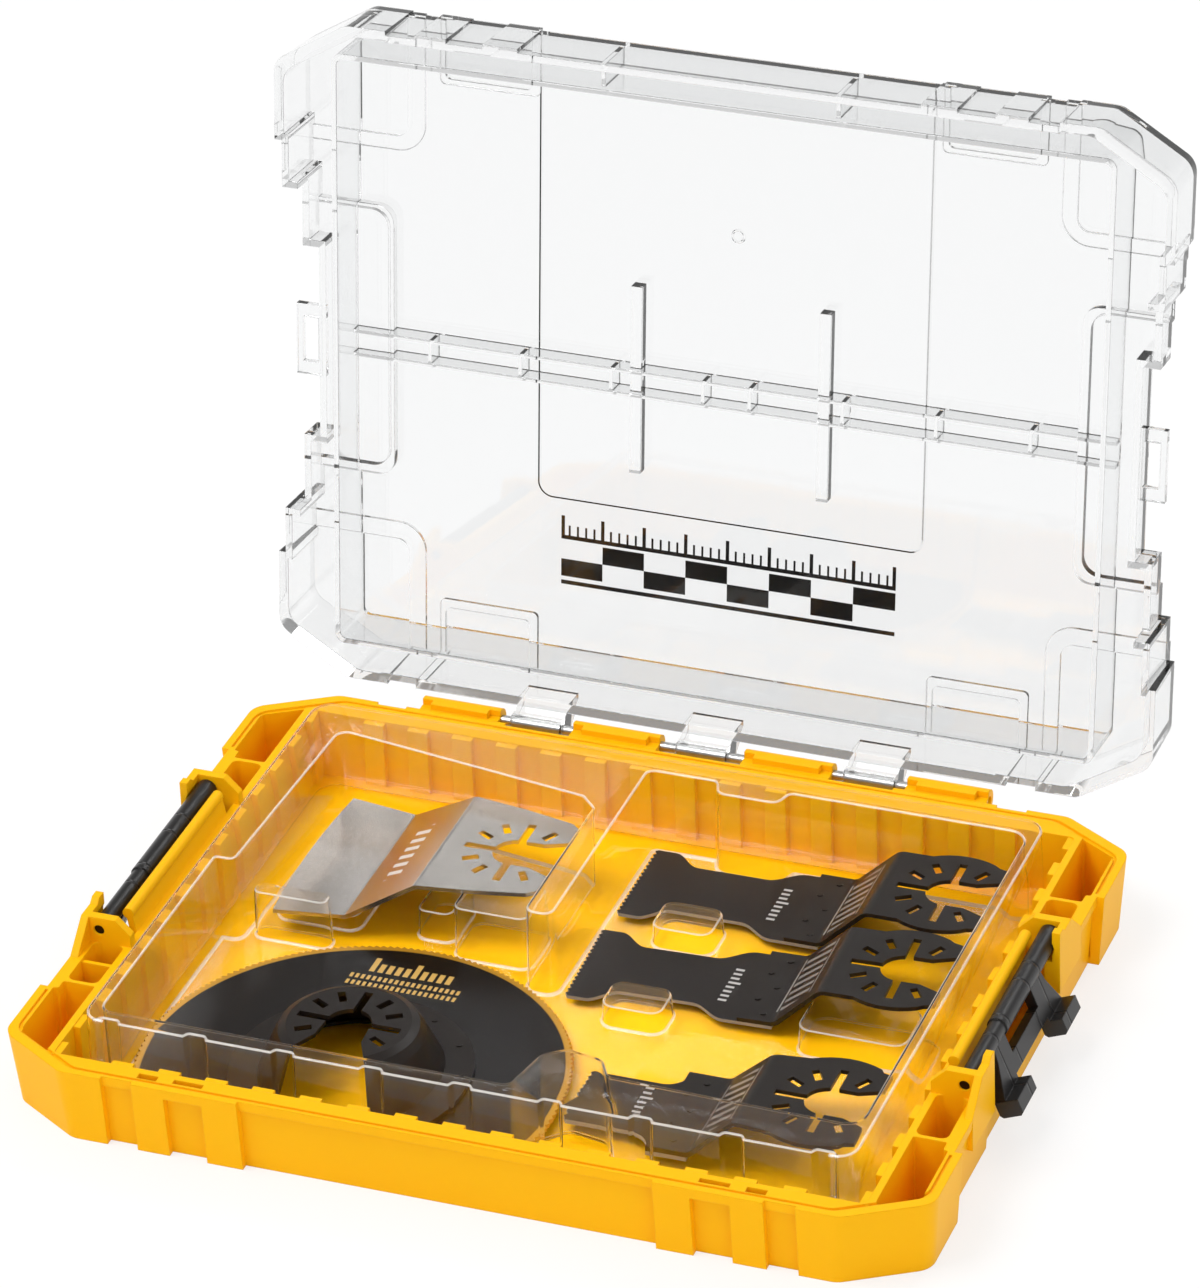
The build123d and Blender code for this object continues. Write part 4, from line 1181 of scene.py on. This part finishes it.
@dataclass
class Studio:
    """Floor, lamps, world and camera."""

    azimuth: float = 21.624
    elevation: float = 31.224
    roll: float = -2.393
    camera_at: Spot = (586.17, -1451.84, 1061.87)
    focal_pixels: float = 7126.7
    image_height: int = 1288
    sensor: float = 36.0
    world_level: float = 0.62
    low_edge: float = 0.06
    high_edge: float = 0.42
    ceiling: float = 0.2
    gloss_ceiling: float = 0.34
    floor_half: float = 12.0
    floor_grey: float = 0.93
    floor_glow: float = 0.72
    aim: Spot = (0.0, 0.0, 0.05)

    def build_camera(self) -> None:
        """Places the camera: azimuth turns about Z, elevation looks down, roll turns the frame."""
        data = bpy.data.cameras.new("camera")
        data.sensor_fit = "VERTICAL"
        data.sensor_height = self.sensor
        data.lens = self.focal_pixels * self.sensor / self.image_height
        data.clip_end = 100.0
        camera = place_object("camera", data)
        turn = (
            Matrix.Rotation(math.radians(self.azimuth), 4, "Z")
            @ Matrix.Rotation(math.radians(90 - self.elevation), 4, "X")
            @ Matrix.Rotation(math.radians(self.roll), 4, "Z")
        )
        camera.matrix_world = Matrix.Translation(Vector(self.camera_at) * MM) @ turn
        bpy.context.scene.camera = camera

    def mirrored(self, graph: Graph, path: Node) -> NodeSocket:
        """Adds a mask of what is seen in a gloss or through clear plastic.

        Args:
            graph: the material's or world's graph.
            path: its Light Path node.

        Returns:
            1 for glossy and transmission rays that have met no dull surface yet.
        """
        seen = [path.outputs[key] for key in ("Is Glossy Ray", "Is Transmission Ray")]
        first = graph.math("LESS_THAN", path.outputs["Diffuse Depth"], 0.5)
        return graph.math("MULTIPLY", graph.math("MAXIMUM", *seen), first)

    def build_world(self) -> None:
        """Plain white to the eye; for gloss and clear plastic white low down and grey overhead.

        The level that a gloss or a clear piece sees is white up to low_edge of the sky's
        height and falls in a straight line to the ceiling's grey at high_edge.
        """
        world = bpy.data.worlds.new("studio")
        bpy.context.scene.world = world
        world.use_nodes = True
        graph = Graph(world.node_tree)
        path = graph.add("LightPath")
        height = graph.split(graph.add("TexCoord").outputs["Generated"])[2]
        through, gloss = (
            graph.ramp(height, self.low_edge, self.high_edge, 1.0, level)
            for level in (self.ceiling, self.gloss_ceiling)
        )
        sky = graph.choose(path.outputs["Is Glossy Ray"], through, gloss)
        level = graph.choose(self.mirrored(graph, path), self.world_level, sky)
        light = graph.add("Background", color=(1, 1, 1, 1))
        strength = graph.choose(path.outputs["Is Camera Ray"], level, 1.0)
        graph.join(strength, light.inputs["Strength"])
        graph.join(light.outputs[0], graph.add("OutputWorld").inputs["Surface"])

    def build_floor(self) -> None:
        """A wide pale floor that keeps the shadow, and looks white around it."""
        corners = [(x * self.floor_half, y * self.floor_half, 0) for x, y in SQUARE]
        mesh = bpy.data.meshes.new("floor")
        mesh.from_pydata(corners, [], [(0, 1, 2, 3)])
        material = bpy.data.materials.new("pale_floor")
        material.use_nodes = True
        graph = Graph(material.node_tree)
        lit = graph.add("BsdfDiffuse", color=(*([self.floor_grey] * 3), 1))
        plain = graph.add("Emission", color=(1, 1, 1, 1), strength=1.0)
        path = graph.add("LightPath")
        seen = graph.math("MAXIMUM", path.outputs["Is Camera Ray"], self.mirrored(graph, path))
        mix = graph.add("MixShader")
        glow = graph.math("MULTIPLY", seen, self.floor_glow)
        graph.feed(list(mix.inputs), (glow, lit.outputs[0], plain.outputs[0]))
        graph.join(mix.outputs[0], graph.add("OutputMaterial").inputs["Surface"])
        mesh.materials.append(material)
        place_object("floor", mesh)

    def build_lamp(self, name: str, place: Spot, size: float, watts: float) -> None:
        """Adds a square soft lamp that points at the case.

        Args:
            name: the lamp's name.
            place: where it hangs, in metres.
            size: its side, in metres.
            watts: its power.
        """
        data = bpy.data.lights.new(name, "AREA")
        data.size = size
        data.energy = watts
        lamp = place_object(name, data)
        lamp.rotation_euler = (Vector(self.aim) - Vector(place)).to_track_quat("-Z", "Y").to_euler()
        lamp.location = place

    def build(self) -> None:
        """Builds the whole stage."""
        self.build_camera()
        self.build_world()
        self.build_floor()
        self.build_lamp("key_lamp", (-0.7, -0.5, 1.6), size=0.9, watts=16.5)
        self.build_lamp("fill_lamp", (1.3, -1.0, 0.9), size=0.8, watts=4.0)
        self.build_lamp("back_lamp", (0.3, 1.2, 1.3), size=0.7, watts=5.0)


@dataclass(frozen=True)
class Saw:
    """One saw blade's print: its arbor's y, and its plate's ticks, placed from the arbor."""

    name: str
    y: float
    ticks_at: Point
    ticks_half: float


@dataclass
class CaseDresser:
    """Puts the finishes on the case's own pieces."""

    finishes: Finishes
    arbor_x: float = 85.3
    shank_ticks_x: float = -26.4
    plate_tint: Colour = (0.5, 0.48, 0.46)
    plate_cut: Colour = (0.3, 0.27, 0.24)
    saws: tuple[Saw, ...] = (
        Saw("rear_blade", 55.2, (-47.3, 0.0), 8.5),
        Saw("middle_blade", 17.3, (-46.8, -2.3), 8.5),
        Saw("front_blade", -44.3, (-50.8, 2.3), 5.8),
    )

    def by_node(self) -> dict[str, Material]:
        """Chooses a finish for every node.

        Returns:
            Each node's name and its material.
        """
        made = self.finishes
        chosen = {
            "base_tray": made.yellow, "hinge_pin": made.wire, "lid": made.lid,
            "latch_left": made.black, "latch_right": made.black,
            "latch_pin_left": made.dark_wire, "latch_pin_right": made.dark_wire,
            "insert_tray": made.insert, "scraper_blade": made.steel,
            "round_blade_disc": made.disc, "round_blade_hub": made.coated,
            "round_blade_rivets": made.coated,
        }
        for saw in self.saws:
            shank = TickBand(
                (self.arbor_x + self.shank_ticks_x, saw.y), (3.9, 12.5), pitch=3.6, width=1.5,
                slant=0.35, border=1.0,
            )
            plate = TickBand(
                (self.arbor_x + saw.ticks_at[0], saw.y + saw.ticks_at[1]),
                (1.7, saw.ticks_half), pitch=2.1, width=0.9, short=0.7,
            )
            chosen[f"{saw.name}_shank"] = made.black_coated(f"{saw.name}_shank_coat", (shank,))
            chosen[f"{saw.name}_plate"] = made.black_coated(
                f"{saw.name}_plate_coat", (plate,), self.plate_tint, self.plate_cut,
            )
            chosen[f"{saw.name}_rivets"] = made.coated
        return chosen

    def dress(self) -> None:
        """Gives each node its material."""
        for name, material in self.by_node().items():
            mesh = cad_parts[name].data
            mesh.materials.clear()
            mesh.materials.append(material)
            LOG.info("dressed %s with %s", name, material.name)


def main() -> None:
    """Builds the finishes, the pieces and the stage, in that order."""
    logging.basicConfig(level=logging.INFO, format="%(name)s: %(message)s")
    finishes = Finishes()
    CaseDresser(finishes).dress()
    insert = FormedInsert().build(finishes.insert, finishes.bend)
    LOG.info("built %s", insert.name)
    scale = LidScale().build(finishes.ink)
    LOG.info("built %s", scale.name)
    Studio().build()
    bpy.context.scene.view_settings.view_transform = "Standard"


if __name__ == "__main__":
    main()
